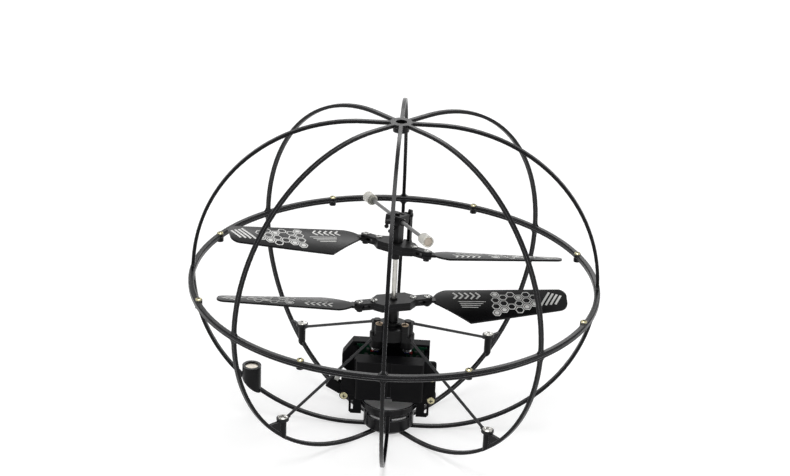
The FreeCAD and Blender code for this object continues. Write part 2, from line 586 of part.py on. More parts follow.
def gearbox_outline(model, name, base, height, rise, plate):
    """The plan that both halves of the gearbox share, with its screw towers round a lower middle."""
    end = GEAR_SHAFT_DISTANCE
    middle = "gear_module * (gear_teeth / 2 + 1) + gear_room + gearbox_wall"
    solids = [model.cylinder(name + "_middle", middle, plate, z=base),
              model.block(name + "_bar", (f"-{end}", end), ("-gearbox_end_radius", "gearbox_end_radius"),
                          (base, f"{base} + {height}"))]
    for side, word in (("-", "left"), ("", "right")):
        solids.append(model.cylinder(f"{name}_end_{word}", "gearbox_end_radius", height, f"{side}{end}", "0",
                                     base))
        solids.append(model.cylinder(f"{name}_tower_{word}", "tower_radius", f"{height} + {rise}",
                                     f"{side}tower_x",
                                     "-tower_y", base))
    return solids


def both_sides(model, name, radius, height, x, y, z):
    """Two upright cylinders at equal distances to the left and right."""
    return [model.cylinder(f"{name}_{word}", radius, height, f"{side}{x}", y, z)
            for side, word in (("-", "left"), ("", "right"))]


def make_gearbox(model):
    height = "(gearbox_floor + chamber_height)"
    solids = gearbox_outline(model, "lower_case", "gearbox_base", height, "0", height)
    for word, low, high in (("left", "-ear_block_reach", "-ear_block_reach + 4"),
                            ("right", "ear_block_reach - 4", "ear_block_reach")):
        solids.append(model.block(f"ear_block_{word}", (low, high), ("-ear_block_front", "-ear_block_back"),
                                  ("gearbox_base", "gearbox_base + ear_block_height")))
    solids += both_sides(model, "sleeve", "motor_radius + sleeve_wall", "sleeve_length + gearbox_floor",
                         GEAR_SHAFT_DISTANCE, "0", "gearbox_base - sleeve_length")
    tip = "gear_module * (gear_teeth / 2 + 1) + gear_room"
    tools = [model.cylinder("chamber", tip, "chamber_height + 1", z=CHAMBER_BASE),
             model.cylinder("lower_bearing_seat", "inner_bearing_radius", "gearbox_floor + 2",
                            z="gearbox_base - 1")]
    tools += both_sides(model, "pinion_room", "gear_module * (pinion_teeth / 2 + 1) + gear_room",
                        "chamber_height + 1", GEAR_SHAFT_DISTANCE, "0", CHAMBER_BASE)
    tools += both_sides(model, "boss_seat", "motor_boss_radius + screw_clearance", "gearbox_floor + 2",
                        GEAR_SHAFT_DISTANCE, "0", "gearbox_base - 1")
    tools += both_sides(model, "case_drill", "hub_screw_radius", "4", "tower_x", "-tower_y",
                        f"{CHAMBER_TOP} - 3")
    tools += both_sides(model, "sleeve_bore", "motor_radius + screw_clearance", "sleeve_length * 2",
                        GEAR_SHAFT_DISTANCE, "0", "gearbox_base - sleeve_length * 2")
    for node in ("strut_left_front", "strut_right_front"):
        tools.append(rod(model, node + "_seat", "strut_radius + screw_clearance", *SOCKETS[node])[0])
    model.part("gearbox_lower", model.cut("gearbox_lower", model.fuse("lower_case", *solids), *tools))
    # The cap carries the towers, the pegs and the back struts' sockets.
    solids = gearbox_outline(model, "cap_case", CHAMBER_TOP, "gearbox_cap", "tower_height", "cap_plate")
    solids.append(model.cylinder("cap_boss", "outer_bearing_radius + gearbox_wall", "gearbox_cap",
                                 z=CHAMBER_TOP))
    solids += both_sides(model, "peg", "peg_radius", "gearbox_cap + peg_height", GEAR_SHAFT_DISTANCE, "0",
                         CHAMBER_TOP)
    tools = [model.cylinder("upper_bearing_seat", "outer_bearing_radius", "gearbox_cap + 2",
                            z=f"{CHAMBER_TOP} - 1")]
    tools += both_sides(model, "cap_drill", "hub_screw_radius + screw_clearance",
                        "gearbox_cap + tower_height + 2",
                        "tower_x", "-tower_y", f"{CHAMBER_TOP} - 1")
    for node in ("strut_left_back", "strut_right_back"):
        azimuth, socket = SOCKETS[node]
        seat, _, turn = rod(model, node + "_seat", "strut_radius + screw_clearance", azimuth, socket)
        tools.append(seat)
        collar = model.cylinder(node + "_collar", "socket_radius", "socket_reach", *socket,
                                turn * around("x", 180))
        solids.append(collar)
    above = model.block("above_case", ("-30", "30"), ("-30", "30"), (CHAMBER_TOP, f"{GEARBOX_TOP} + 5"))
    cap = model.common("cap_trimmed", model.fuse("cap_whole", *solids), above)
    model.part("gearbox_cap", model.cut("gearbox_cap", cap, *tools))
    cap_screws = [screw(model, f"cap_screw_{word}", "hub_screw_radius", "gearbox_cap + tower_height + 2.6",
                        "pan_head_radius", "hub_head_height", f"{side}tower_x", "-tower_y",
                        f"{GEARBOX_TOP} + tower_height") for side, word in (("-", "left"), ("", "right"))]
    model.part("gearbox_screws", model.group("gearbox_screws", *cap_screws))
    edge, lift = "inner_bearing_radius + bearing_rim", f"{CHAMBER_BASE} + bearing_proud"
    outline = [(OUTER_BORE, "gearbox_base"), ("inner_bearing_radius", "gearbox_base"),
               ("inner_bearing_radius", CHAMBER_BASE), (edge, CHAMBER_BASE), (edge, lift), (OUTER_BORE, lift)]
    inner = model.revolve("inner_bearing", outline)
    model.part("inner_bearing", inner)
    bore, rim = "(outer_shaft_radius + shaft_clearance)", "outer_bearing_radius + bearing_rim"
    outer = model.revolve("outer_bearing", [(bore, CHAMBER_TOP), ("outer_bearing_radius", CHAMBER_TOP),
                                            ("outer_bearing_radius", GEARBOX_TOP), (rim, GEARBOX_TOP),
                                            (rim, f"{GEARBOX_TOP} + bearing_proud"),
                                            (bore, f"{GEARBOX_TOP} + bearing_proud")])
    model.part("outer_bearing", outer)


def make_motors(model):
    low, top = "(gearbox_base - motor_length)", "gearbox_base"
    bore, cap = "(motor_shaft_radius + shaft_clearance)", "(motor_radius - motor_cap_inset)"
    depth = "(gearbox_base - motor_shaft_depth - shaft_clearance)"
    levels = {"left": f"({INNER_GEAR_BASE} - 0.2)", "right": f"({OUTER_GEAR_BASE} - 0.1)"}
    for side, word in (("-", "left"), ("", "right")):
        x = f"{side}{GEAR_SHAFT_DISTANCE}"
        foot, crown = f"{low} - motor_cap_length", f"{top} + motor_boss_height"
        outline = [("0", foot), (cap, foot), (cap, low), ("motor_radius", low), ("motor_radius", top),
                   ("motor_boss_radius", top), ("motor_boss_radius", crown), (bore, crown), (bore, depth),
                   ("0", depth)]
        can = model.revolve(f"motor_{word}", outline)
        model.part(f"motor_{word}", model.place(can, x))
        length = f"{levels[word]} + pinion_width - (gearbox_base - motor_shaft_depth)"
        shaft = model.cylinder(f"motor_shaft_{word}", "motor_shaft_radius", length, x, "0",
                               "gearbox_base - motor_shaft_depth")
        model.part(f"motor_shaft_{word}", shaft)
        pinion = involute_gear(model, f"pinion_{word}", "pinion_teeth", "pinion_width", "motor_shaft_radius")
        model.part(f"pinion_{word}",
                   model.place(pinion, x, "0", levels[word], around("z", 180 / model.value("pinion_teeth"))))


def wire(model, name, start, end):
    """A thin wire that leaves a motor's end downwards and bends back to the board."""
    low = "(gearbox_base - motor_length - motor_cap_length)"
    y = "motor_boss_radius"
    points = [model.vector(start, y, low), model.vector(start, y, f"{low} - wire_drop * 0.4"),
              model.vector(end, "(frame_back + motor_boss_radius) / 2", f"{low} - wire_drop * 0.85"),
              model.vector(end, "frame_back", f"{low} - wire_drop")]
    curve = Part.BSplineCurve()
    curve.interpolate(points, InitialTangent=Vector(0, 0, -1), FinalTangent=Vector(0, 1, 0))
    profile = Part.Wire([Part.makeCircle(model.value("wire_radius"), points[0], Vector(0, 0, 1))])
    return model.feature(name, Part.Wire([curve.toShape()]).makePipeShell([profile], True, False))


def make_wires(model):
    for colour, inner, outer in (("red", "1.2", "1.3"), ("blue", "-0.9", "-0.0")):
        pair = [wire(model, f"wire_{colour}_{word}",
                     f"{side}({GEAR_SHAFT_DISTANCE} + {inner} * motor_boss_radius)",
                     f"{side}({GEAR_SHAFT_DISTANCE} + ({outer} + 0.8) * motor_boss_radius)")
                for side, word in (("-", "left"), ("", "right"))]
        model.part(f"motor_wires_{colour}", model.group(f"motor_wires_{colour}", *pair))


def mirrored(outline, index):
    """An outline flipped across one axis."""
    other = {"left": "right", "right": "left"}
    flipped = []
    for corner in outline:
        place = list(corner[:2])
        place[index] = f"-({place[index]})"
        flipped.append((*place, *((corner[2], other[corner[3]]) if len(corner) > 2 else ())))
    return flipped


def hub_half(model, name, top, extras, tools):
    """One of the two shells that clamp the blades, in the hub's own frame."""
    corners = [("hub_length", "-arm_half_width"), ("hub_length", "arm_half_width"),
               ("hub_flat", "hub_width")]
    corners += [("-hub_flat", "hub_width"), ("-hub_length", "arm_half_width"),
                ("-hub_length", "-arm_half_width")]
    corners += [("-hub_flat", "-hub_width"), ("hub_flat", "-hub_width")]
    lift = "0" if top else "-prong_half"
    solids = [model.extrude(name + "_plan", corners, "hub_half", "XY", z="0" if top else "-hub_half"),
              model.block(name + "_arms", ("-blade_pivot", "blade_pivot"),
                          ("-arm_half_width", "arm_half_width"),
                          (lift, f"{lift} + prong_half"))]
    solids += both_sides(model, name + "_end", "arm_half_width", "prong_half", "blade_pivot", "0", lift)
    slot = ("-1", "slot_half") if top else ("-slot_half", "1")
    slots = [model.block(f"{name}_slot_{word}", reach, ("-4", "4"), slot)
             for word, reach in (("left", ("-blade_pivot - 4", "-slot_start")),
                                 ("right", ("slot_start", "blade_pivot + 4")))]
    plain = model.cut(name + "_slotted", model.fuse(name + "_blank", *solids), *slots)
    if not top:
        extras = extras + both_sides(model, name + "_boss", "boss_radius",
                                     "boss_drop + prong_half - slot_half",
                                     "blade_pivot", "0", "-prong_half - boss_drop")
    holes = []
    for key, circle in (("clamp", "hub_screw_circle"), ("pivot", "blade_pivot")):
        holes += both_sides(model, f"{name}_{key}", "hub_screw_radius + screw_clearance", "8", circle, "0",
                            "-4")
    whole = model.fuse(name + "_whole", plain, *extras) if extras else plain
    return model.cut(name, whole, *holes, *tools)


def hub_screws(model, node, seat, circle, length, height, turn):
    """The screws on one circle of a hub, as one group."""
    pair = [screw(model, f"{node}_{word}", "hub_screw_radius", length, "hub_head_radius", "hub_head_height",
                  f"{side}{circle}", "0", seat) for side, word in (("-", "left"), ("", "right"))]
    model.part(node, model.place(model.group(node, *pair), z=height, turn=turn))


def blade(model, node, length, height, hub_turn, side, swing, pitch, sense):
    """A cambered, twisted blade on its flat root, which pivots at the end of a hub's arm."""
    plan = [("blade_start", "-blade_neck"), ("blade_corner", "-blade_trail"),
            (f"{length} - tip_back", "-blade_tip_trail", "tip_back_radius", "left"), (length, "-tip_low"),
            (length, "tip_high", "tip_front_radius", "left"), (f"{length} - tip_front", "blade_lead"),
            ("blade_shoulder", "blade_lead", "shoulder_radius", "left"), ("blade_start", "blade_neck * 0.9")]
    middle, half = "(blade_lead - blade_trail) / 2", "((blade_lead + blade_trail) / 2 + blade_margin)"
    drop = f"(blade_bend - sqrt(blade_bend ^ 2 - {half} ^ 2) - blade_rise)"
    low, high = f"-{drop} - blade_thickness / 2", f"-{drop} + blade_thickness / 2"
    section = [(f"{middle} - {half}", low, "blade_bend", "right"), (f"{middle} + {half}", low),
               (f"{middle} + {half}", high, "blade_bend", "left"), (f"{middle} - {half}", high)]
    if sense < 0:
        plan, section = mirrored(plan, 1), mirrored(section, 0)
    plate = model.extrude(node + "_plan", plan, "blade_trail", "XY", z="-blade_trail / 2")
    profile = model.loft(node + "_section", section, "blade_start * 0.8", f"{length} + blade_margin",
                         sense * model.value("blade_twist"))
    tilt = around("x", sense * model.value(pitch))
    panel = model.place(model.common(node + "_panel", plate, profile), turn=tilt)
    root = model.cylinder(node + "_root", "root_radius", "root_half * 2", z="-root_half")
    tang = model.block(node + "_tang", ("0", "root_length"), ("-root_radius", "root_radius"),
                       ("-root_half", "root_half"))
    hole = model.cylinder(node + "_hole", "hub_screw_radius + blade_clearance", "root_half * 4",
                          z="-root_half * 2")
    whole = model.cut(node, model.fuse(node + "_whole", panel, root, tang), hole)
    sign, half_turn = ("-", 180) if side == "left" else ("", 0)
    bearing = hub_turn.toEuler()[0] if abs(hub_turn.Angle) > 0 else 0
    facing = hub_turn * around("z", model.value(swing) + half_turn)
    model.part(node, model.place(whole, f"{sign}blade_pivot * cos({bearing})",
                                 f"{sign}blade_pivot * sin({bearing})",
                                 height, facing))


def make_lower_rotor(model):
    turn = around("z", model.value("lower_hub_turn"))
    tube_base = OUTER_GEAR_BASE
    model.part("outer_shaft",
               tube(model, "outer_shaft", "outer_shaft_radius", OUTER_BORE, tube_base, TUBE_TOP))
    gear = involute_gear(model, "outer_gear", "gear_teeth", "gear_width", "outer_shaft_radius")
    model.part("outer_gear", model.place(gear, z=OUTER_GEAR_BASE))
    collar_base = f"({GEARBOX_TOP} + bearing_proud + collar_gap - lower_hub_height)"
    collar = model.cylinder("lower_collar", "collar_radius", f"-({collar_base}) - hub_half", z=collar_base)
    bores = [model.cylinder(f"lower_bore_{i}", "outer_shaft_radius", f"hub_half * 2 - {collar_base}",
                            z=f"{collar_base} - hub_half / 2") for i in range(2)]
    for word, top in (("bottom", False), ("top", True)):
        half = hub_half(model, f"lower_hub_{word}", top, [] if top else [collar], [bores[top]])
        model.part(f"lower_hub_{word}", model.place(half, z="lower_hub_height", turn=turn))
    hub_screws(model, "lower_hub_screws", "hub_half", "hub_screw_circle", "hub_half * 1.8",
               "lower_hub_height",
               turn)
    hub_screws(model, "lower_blade_screws", "prong_half", "blade_pivot", "prong_half * 1.8 + boss_drop",
               "lower_hub_height", turn)
    for side in ("left", "right"):
        blade(model, f"lower_blade_{side}", "blade_length", "lower_hub_height", turn, side,
              f"lower_swing_{side}",
              "lower_pitch", 1)


def make_upper_rotor(model):
    spin = around("z", model.value("upper_hub_turn"))
    tilted = spin * around("x", model.value("rest_tilt"))
    shaft_top = "(upper_hub_height - mast_cover)"
    model.part("inner_shaft",
               model.cylinder("inner_shaft", "inner_shaft_radius", f"{shaft_top} - {SHAFT_BOTTOM}",
                                             z=SHAFT_BOTTOM))
    gear = involute_gear(model, "inner_gear", "gear_teeth", "gear_width", "inner_shaft_radius")
    model.part("inner_gear", model.place(gear, z=INNER_GEAR_BASE))
    # Mast, in its own frame with the pivots along X.
    base = "(upper_hub_height - hub_half - rock_gap)"
    column = model.block("mast_column", ("-mast_half", "mast_half"), ("-mast_half", "mast_half"),
                         (base, f"{FLYBAR} + mast_shoulder"))
    tip = model.cylinder("mast_tip", "mast_tip_radius", "mast_rise", z=FLYBAR)
    stem_base = f"({base} - stem_length)"
    stem = model.cylinder("mast_stem", "stem_radius", "stem_length", z=stem_base)
    knob_level = f"({FLYBAR} - knob_drop)"
    knob = [model.block("mast_stub", ("-knob_radius * 0.6", "knob_radius * 0.6"), ("-knob_reach", "0"),
                        (f"{knob_level} - knob_radius * 0.6", f"{knob_level} + knob_radius * 0.6")),
            model.sphere("mast_knob", "knob_radius", "0", "-knob_reach", knob_level)]
    tools = [model.cylinder("mast_bore", "inner_shaft_radius", f"{shaft_top} - {stem_base} + stem_length",
                            z=f"{stem_base} - stem_length")]
    for name, height in (("hub_pin_bore", "upper_hub_height"), ("flybar_pin_bore", FLYBAR)):
        tools.append(model.cylinder(name, "pivot_pin_radius + pin_clearance", "mast_half * 4",
                                    "-mast_half * 2", "0",
                                    height, around("y", 90)))
    mast = model.cut("rotor_mast", model.fuse("mast_whole", column, tip, stem, *knob), *tools)
    model.part("rotor_mast", model.place(mast, turn=spin))
    for node, reach, height in (("hub_pin", "pivot_reach", "upper_hub_height"),
                                ("flybar_pin", "flybar_pin_reach", FLYBAR)):
        pin = model.cylinder(node + "_rod", "pivot_pin_radius", f"{reach} * 2", f"-{reach}",
                             turn=around("y", 90))
        model.part(node, model.place(model.group(node, pin), z=height, turn=tilted))
    # Grip halves: the top one carries the arm that the push link drives.
    opening = ("mast_half + side_gap", "mast_half + rock_gap")
    arm = [model.block("grip_arm_root", ("-arm_half", "arm_half"), ("hub_width - 1", "hub_width + 0.4"),
                       ("0", "arm_half")),
           model.block("grip_arm", ("-arm_half", "arm_half"), ("hub_width + 0.2", "link_arm"),
                       ("-arm_half", "arm_half")),
           *ball_end(model, "grip")]
    for word, top in (("bottom", False), ("top", True)):
        hole = model.block(f"grip_opening_{word}", (f"-({opening[0]})", opening[0]),
                           (f"-({opening[1]})", opening[1]),
                           ("-3", "3"))
        groove = model.cylinder(f"grip_groove_{word}", "pivot_pin_radius", "pivot_reach * 2", "-pivot_reach",
                                turn=around("y", 90))
        half = hub_half(model, f"upper_grip_{word}", top, arm if top else [], [hole, groove])
        model.part(f"upper_grip_{word}", model.place(half, z="upper_hub_height", turn=tilted))
    hub_screws(model, "upper_hub_screws", "hub_half", "hub_screw_circle", "hub_half * 1.8",
               "upper_hub_height",
               tilted)
    hub_screws(model, "upper_blade_screws", "prong_half", "blade_pivot", "prong_half * 1.8 + boss_drop",
               "upper_hub_height", tilted)
    for side in ("left", "right"):
        blade(model, f"upper_blade_{side}", "upper_blade_length", "upper_hub_height", tilted, side,
              f"upper_swing_{side}", "upper_pitch", -1)
    make_flybar(model, spin, tilted, opening)


def ball_end(model, name):
    """The round end of a driven arm with the pin that a push link's eye turns on."""
    reach = "(arm_half + link_side_gap + link_thickness + link_pin_proud)"
    return [model.cylinder(name + "_arm_end", "link_pin_radius + 0.6", "arm_half * 2", "-arm_half",
                           "link_arm",
                           turn=around("y", 90)),
            model.cylinder(name + "_arm_pin", "link_pin_radius", reach, "0", "link_arm",
                           turn=around("y", 90))]


def make_flybar(model, spin, tilted, opening):
    """The teetering ring, its rods and weights, and the link down to the grip."""
    outer = [f"({text} + ring_wall)" for text in opening]
    heading = around("z", model.value("flybar_turn"))
    solids = [model.block("flybar_ring", (f"-{outer[0]}", outer[0]), (f"-{outer[1]}", outer[1]),
                          ("-ring_half_height", "ring_half_height")),
              model.block("flybar_arm", ("-arm_half", "arm_half"), ("mast_half", "link_arm"),
                          ("-arm_half", "arm_half")),
              model.block("flybar_stub", ("-arm_half", "arm_half"), ("-stub_arm", "-mast_half"),
                          ("-arm_half", "arm_half")),
              model.sphere("flybar_knob", "stub_ball_radius", "0", "-stub_arm", "0"),
              model.sphere("flybar_knob_low", "stub_ball_radius", "0", "-stub_arm",
                           "-stub_ball_radius * 1.8"),
              *ball_end(model, "flybar")]
    for i in range(2):
        along = around("z", 180 * i) * heading * around("y", 90)
        solids.append(model.cylinder(f"flybar_socket_{i}", "flybar_socket_radius",
                                     "flybar_socket_length + mast_half", turn=along))
    tools = [model.block("flybar_opening", (f"-({opening[0]})", opening[0]),
                         (f"-({opening[1]})", opening[1]),
                         ("-5", "5")),
             model.cylinder("flybar_pin_seat", "pivot_pin_radius", "10", "-5", turn=around("y", 90))]
    rod_length = "(flybar_reach + weight_length * 0.4 - flybar_rod_start)"
    shaft = model.cylinder("flybar_rod", "flybar_radius", rod_length, "flybar_rod_start",
                           turn=around("y", 90))
    for i in range(2):
        place = Placement(Vector(), around("z", 180 * i) * heading)
        tools.append(model.copy(f"flybar_seat_{i}", shaft, place))
    hub = model.cut("flybar_hub", model.fuse("flybar_whole", *solids), *tools)
    model.part("flybar_hub", model.place(hub, z=FLYBAR, turn=tilted))
    low = "(flybar_reach - weight_length / 2)"
    seat = model.cylinder("weight_seat", "flybar_radius", "weight_length * 0.9", low, turn=around("y", 90))
    weight = model.cut("weight", model.cylinder("weight_blank", "weight_radius", "weight_length", low,
                                                turn=around("y", 90)), seat)
    bush_low = f"({low} - weight_collar_length)"
    bush = model.cut("bush",
                     model.cylinder("bush_blank", "weight_collar_radius", "weight_collar_length", bush_low,
                                            turn=around("y", 90)),
                     model.cylinder("bush_seat", "flybar_radius", "weight_collar_length", bush_low,
                                    turn=around("y", 90)))
    start = model.value("flybar_turn")
    for node, source in (("flybar_rods", shaft), ("flybar_weights", weight), ("flybar_collars", bush)):
        pair = model.ring(node, source, 2, start)
        model.part(node, model.place(pair, z=FLYBAR, turn=tilted))
    # The link hangs upright between the flybar's arm and the grip's arm.
    span, near = "flybar_rise", "(arm_half + link_side_gap)"
    bar = model.block("link_bar", (near, f"{near} + link_thickness"), ("-link_width / 2", "link_width / 2"),
                      (f"-{span}", "link_horn"))
    eyes = [model.cylinder(f"link_{word}", radius, "link_thickness", near, "0", z, around("y", 90))
            for word, radius,
            z in (("eye_top", "link_eye_radius", "0"), ("eye_low", "link_eye_radius", f"-{span}"),
                                    ("horn_end", "link_width / 2", "link_horn"))]
    holes = [model.cylinder("link_hole_top", "link_pin_radius + pin_clearance", "6", "0", "0", "0",
                            around("y", 90)),
             model.cylinder("link_hole_low", "link_pin_radius + open_eye_clearance", "6", "0", "0",
                            f"-{span}",
                            around("y", 90))]
    link = model.cut("push_link", model.fuse("link_whole", bar, *eyes), *holes)
    bearing, tilt = model.value("upper_hub_turn"), model.value("rest_tilt")
    model.part("push_link", model.place(link, f"-link_arm * cos({tilt}) * sin({bearing})",
                                        f"link_arm * cos({tilt}) * cos({bearing})",
                                        f"{FLYBAR} + link_arm * sin({tilt})", spin))


EAR_FRONT = "(-frame_front)"
EAR_BACK = "(-frame_front + ear_thickness)"
WALL_BACK = "(-frame_front + ear_thickness + frame_wall)"
SCREWS = {"high": ("(right_ear_reach - ear_screw_inset)", "upper_screw_height"),
          "right": ("(right_ear_reach - ear_screw_inset)", "ear_foot"),
          "left": ("(-left_ear_reach + ear_screw_inset - 0.2)", "ear_foot")}


def slab(model, name, outline, front, back):
    """An outline of (x, z) corners between two depths."""
    return model.extrude(name, outline, f"{back} - ({front})", "XZ", y=back)


def plug(model, name, radius, where, front, back):
    """A round bar that runs from front to back."""
    return model.cylinder(name, radius, f"{back} - ({front})", where[0], back, where[1], around("x", 90))


def make_frame(model):
    wide, base, top = "frame_half_width", "(body_base - tray_thickness)", "(body_base + frame_height)"
    solids = [model.block("tray", (f"-{wide}", wide), (EAR_BACK, "frame_back"), (base, "body_base")),
              model.block("front_wall", (f"-{wide}", wide), (EAR_BACK, WALL_BACK), (base, top)),
              model.block("left_wall", (f"-{wide}", f"-{wide} + frame_wall"), (EAR_BACK, "frame_back"),
                          (base, top)),
              model.block("right_wall", (f"{wide} - frame_wall", wide), (EAR_BACK, "frame_back"),
                          (base, top)),
              model.block("pylon", ("-pylon_half_width", "pylon_half_width"),
                          ("pylon_front", "pylon_front + pylon_thickness"), (base, "gearbox_base")),
              model.block("pylon_head", ("-pylon_half_width", "pylon_half_width"),
                          ("pylon_front", "pylon_front + pylon_flange"),
                          ("gearbox_base - frame_wall", "gearbox_base"))]
    # The rear edge is a picture frame that the board and the rear cover rest on.
    rear = ("frame_back - frame_wall", "frame_back")
    edge = model.block("rear_plate", ("-rear_left + 0.2", "rear_right - 0.2"), rear,
                       (base, f"{top} + board_rim"))
    gap = model.block("rear_gap", (f"-{wide} + board_rim", f"{wide} - board_rim"),
                      ("pylon_front", "frame_back * 2"),
                      ("body_base + board_rim", f"{top} * 2"))
    solids.append(model.cut("rear_edge", edge, gap))
    low_end = (f"({EAR_BACK} + bracket_thickness)", f"({EAR_BACK} + boss_length)")
    ends = {"high": (EAR_BACK, f"({EAR_BACK} + boss_length)"), "right": low_end, "left": low_end}
    for key, where in SCREWS.items():
        front, back = ends[key]
        solids.append(plug(model, f"frame_boss_{key}", "ear_boss_radius", where, front, back))
    solids.append(model.block("high_arm", (f"{wide} - 0.5", SCREWS["high"][0]), ends["high"],
                              ("upper_screw_height - 1", "upper_screw_height + 1")))
    solids.append(model.block("right_arm", (f"{wide} - 0.5", SCREWS["right"][0]), ends["right"],
                              ("ear_foot", "body_base")))
    solids.append(model.block("left_arm", (SCREWS["left"][0], f"-{wide} + 0.5"), ends["left"],
                              ("ear_foot", "body_base")))
    # A lug whose sloping end carries the switch.
    seat = switch_frame(model)
    lug = slab(model, "switch_lug",
               [seat("switch_length / 2", "switch_height / 2"), (f"-{wide} + 0.3", "body_base + 3"),
                                     (f"-{wide} + 0.3", base), seat("switch_length / 2", "-0.4")],
               f"({EAR_BACK} + bracket_thickness)", f"({EAR_BACK} + bracket_thickness + switch_depth)")
    solids.append(lug)
    drills = [plug(model, f"frame_drill_{key}", "rim_screw_radius", where, f"({EAR_FRONT} - 2)",
                   f"({EAR_FRONT} - 0.4 + ear_screw_length + 0.3)") for key, where in SCREWS.items()]
    model.part("main_frame", model.cut("main_frame", model.fuse("frame_whole", *solids), *drills,
                                       switch_block(model, "switch_room")))


def switch_frame(model):
    """A function that turns a place on the tilted switch into (x, z) formulas."""
    def place(along, up):
        return (f"-switch_x + ({along}) * cos(switch_tilt) + ({up}) * sin(switch_tilt)",
                f"switch_z - ({along}) * sin(switch_tilt) + ({up}) * cos(switch_tilt)")
    return place


def switch_block(model, name):
    at = switch_frame(model)
    half = ("switch_length / 2", "switch_height / 2")
    corners = [at(f"-{half[0]}", f"-{half[1]}"), at(half[0], f"-{half[1]}"), at(*half),
               at(f"-{half[0]}", half[1])]
    return slab(model, name, corners, f"({EAR_BACK} + bracket_thickness)",
                f"({EAR_BACK} + bracket_thickness + switch_depth)")


def make_body(model):
    front, wall = "(-frame_front - box_depth)", "box_wall"
    low, top, wide = "body_base", "(body_base + box_height)", "box_half_width"
    # Battery box with its two ears.
    plan = [(f"-{wide}", EAR_BACK), (f"-{wide}", f"{front} + box_corner", "box_corner", "left"),
            (f"-{wide} + box_corner", front), (f"{wide} - box_corner", front, "box_corner", "left"),
            (wide, f"{front} + box_corner"), (wide, EAR_BACK)]
    solids = [model.extrude("box", plan, "box_height", "XY", z=low)]
    ear = [(f"{wide} - 0.5", "ear_foot"), ("right_ear_reach", "ear_foot"),
           ("right_ear_reach", "right_ear_top - ear_corner", "ear_corner", "left"),
           ("right_ear_reach - ear_corner", "right_ear_top"), (f"{wide} - 0.5", "right_ear_top")]
    solids.append(slab(model, "right_ear", ear, EAR_FRONT, EAR_BACK))
    ear = [("left_ear_reach", "ear_foot"),
           ("left_ear_reach", "left_ear_top - ear_corner", "ear_corner", "left"),
           ("left_ear_reach - ear_corner", "left_ear_top"), (f"{wide} - 0.5", "left_ear_top"),
           (f"{wide} - 0.5", "ear_foot")]
    solids.append(slab(model, "left_ear", mirrored(ear, 0), EAR_FRONT, EAR_BACK))
    for key, where in SCREWS.items():
        solids.append(plug(model, f"cover_boss_{key}", "ear_boss_radius", where, f"({EAR_FRONT} - 0.4)",
                           EAR_BACK))
    tools = [model.block("box_room", (f"-{wide} + {wall}", f"{wide} - {wall}"),
                         (f"{front} + {wall}", EAR_BACK),
                         (f"{low} + {wall}", f"{top} - {wall}")),
             model.block("box_groove", ("-box_groove_width / 2", "box_groove_width / 2"),
                         (f"{front} - 1", f"{front} + box_groove_depth"),
                         (f"{low} + box_notch_height", f"{top} + 1")),
             model.block("box_notch", ("-box_groove_width", "box_groove_width"),
                         (f"{front} - 1", f"{front} + {wall} + 1"),
                         (f"{low} - 1", f"{low} + box_notch_height"))]
    tools += [plug(model, f"cover_drill_{key}", "rim_screw_radius + screw_clearance", where,
                   f"({EAR_FRONT} - 2)",
                   f"({EAR_BACK} + 1)") for key, where in SCREWS.items()]
    model.part("battery_cover", model.cut("battery_cover", model.fuse("cover_whole", *solids), *tools))
    inset = f"({wall} + battery_gap)"
    battery = model.block("battery", (f"-{wide} + {inset}", f"{wide} - {inset}"),
                          (f"{front} + {inset}", EAR_BACK),
                          (f"{low} + {wall}", f"{top} - {inset}"))
    model.part("battery", battery)
    for side, key in (("left", "left"), ("right", "right")):
        make_bracket(model, side, SCREWS[key])
    screws = [screw(model, f"cover_screw_{key}", "rim_screw_radius", "ear_screw_length", "pan_head_radius",
                    "pan_head_height", where[0], f"{EAR_FRONT} - 0.4", where[1], around("x", 90))
              for key, where in SCREWS.items()]
    model.part("cover_screws", model.group("cover_screws", *screws))
    board = model.block("circuit_board", ("-board_half_width", "board_half_width"),
                        ("frame_back", "frame_back + board_thickness"),
                        ("body_base + rear_wall + 0.1", "board_top"))
    model.part("circuit_board", board)
    chips = [(-0.72, 4.8, 1.6, 1.0), (-0.56, 5.7, 1.2, 1.6), (-0.7, 8.4, 2.4, 2.0), (0.56, 4.8, 1.2, 1.2),
             (0.74, 5.0, 1.6, 1.6), (0.65, 8.2, 3.0, 2.2), (0.0, 10.0, 4.0, 4.0), (-0.88, 2.4, 1.2, 0.9),
             (-0.68, 2.2, 1.2, 1.0), (-0.34, 2.3, 1.6, 1.2), (0.36, 2.3, 1.4, 1.1), (0.69, 2.4, 1.2, 0.9),
             (0.88, 2.2, 0.9, 1.2)]
    places = [(f"{x} * board_half_width", f"board_top - {z} * chip_unit", f"{w} * chip_unit / 2",
               f"{h} * chip_unit / 2")
              for x, z, w, h in chips]
    boxes = [model.block(f"chip_{i}", (f"{x} - {w}", f"{x} + {w}"),
                         ("frame_back - chip_height", "frame_back"),
                         (f"{z} - {h}", f"{z} + {h}")) for i, (x, z, w, h) in enumerate(places)]
    model.part("board_components", model.group("board_components", *boxes))
    # Rear cover: a shell with a shoulder on its left.
    outline = [("-rear_left", "rear_top"), ("-shoulder_reach", "shoulder_top"),
               ("-shoulder_reach", "shoulder_low"),
               ("-rear_left", "shoulder_foot"), ("-rear_left", "body_base"), ("rear_right", "body_base"),
               ("rear_right", "rear_top")]
    shell = slab(model, "rear_shell", outline, "frame_back", "frame_back + rear_depth")
    room = model.block("rear_room", ("-rear_left + rear_wall", "rear_right - rear_wall"),
                       ("frame_back - 1", "frame_back + rear_depth - rear_wall"),
                       ("body_base + rear_wall", "rear_top - rear_wall"))
    model.part("rear_cover", model.cut("rear_cover", shell, room))
    make_switch(model)


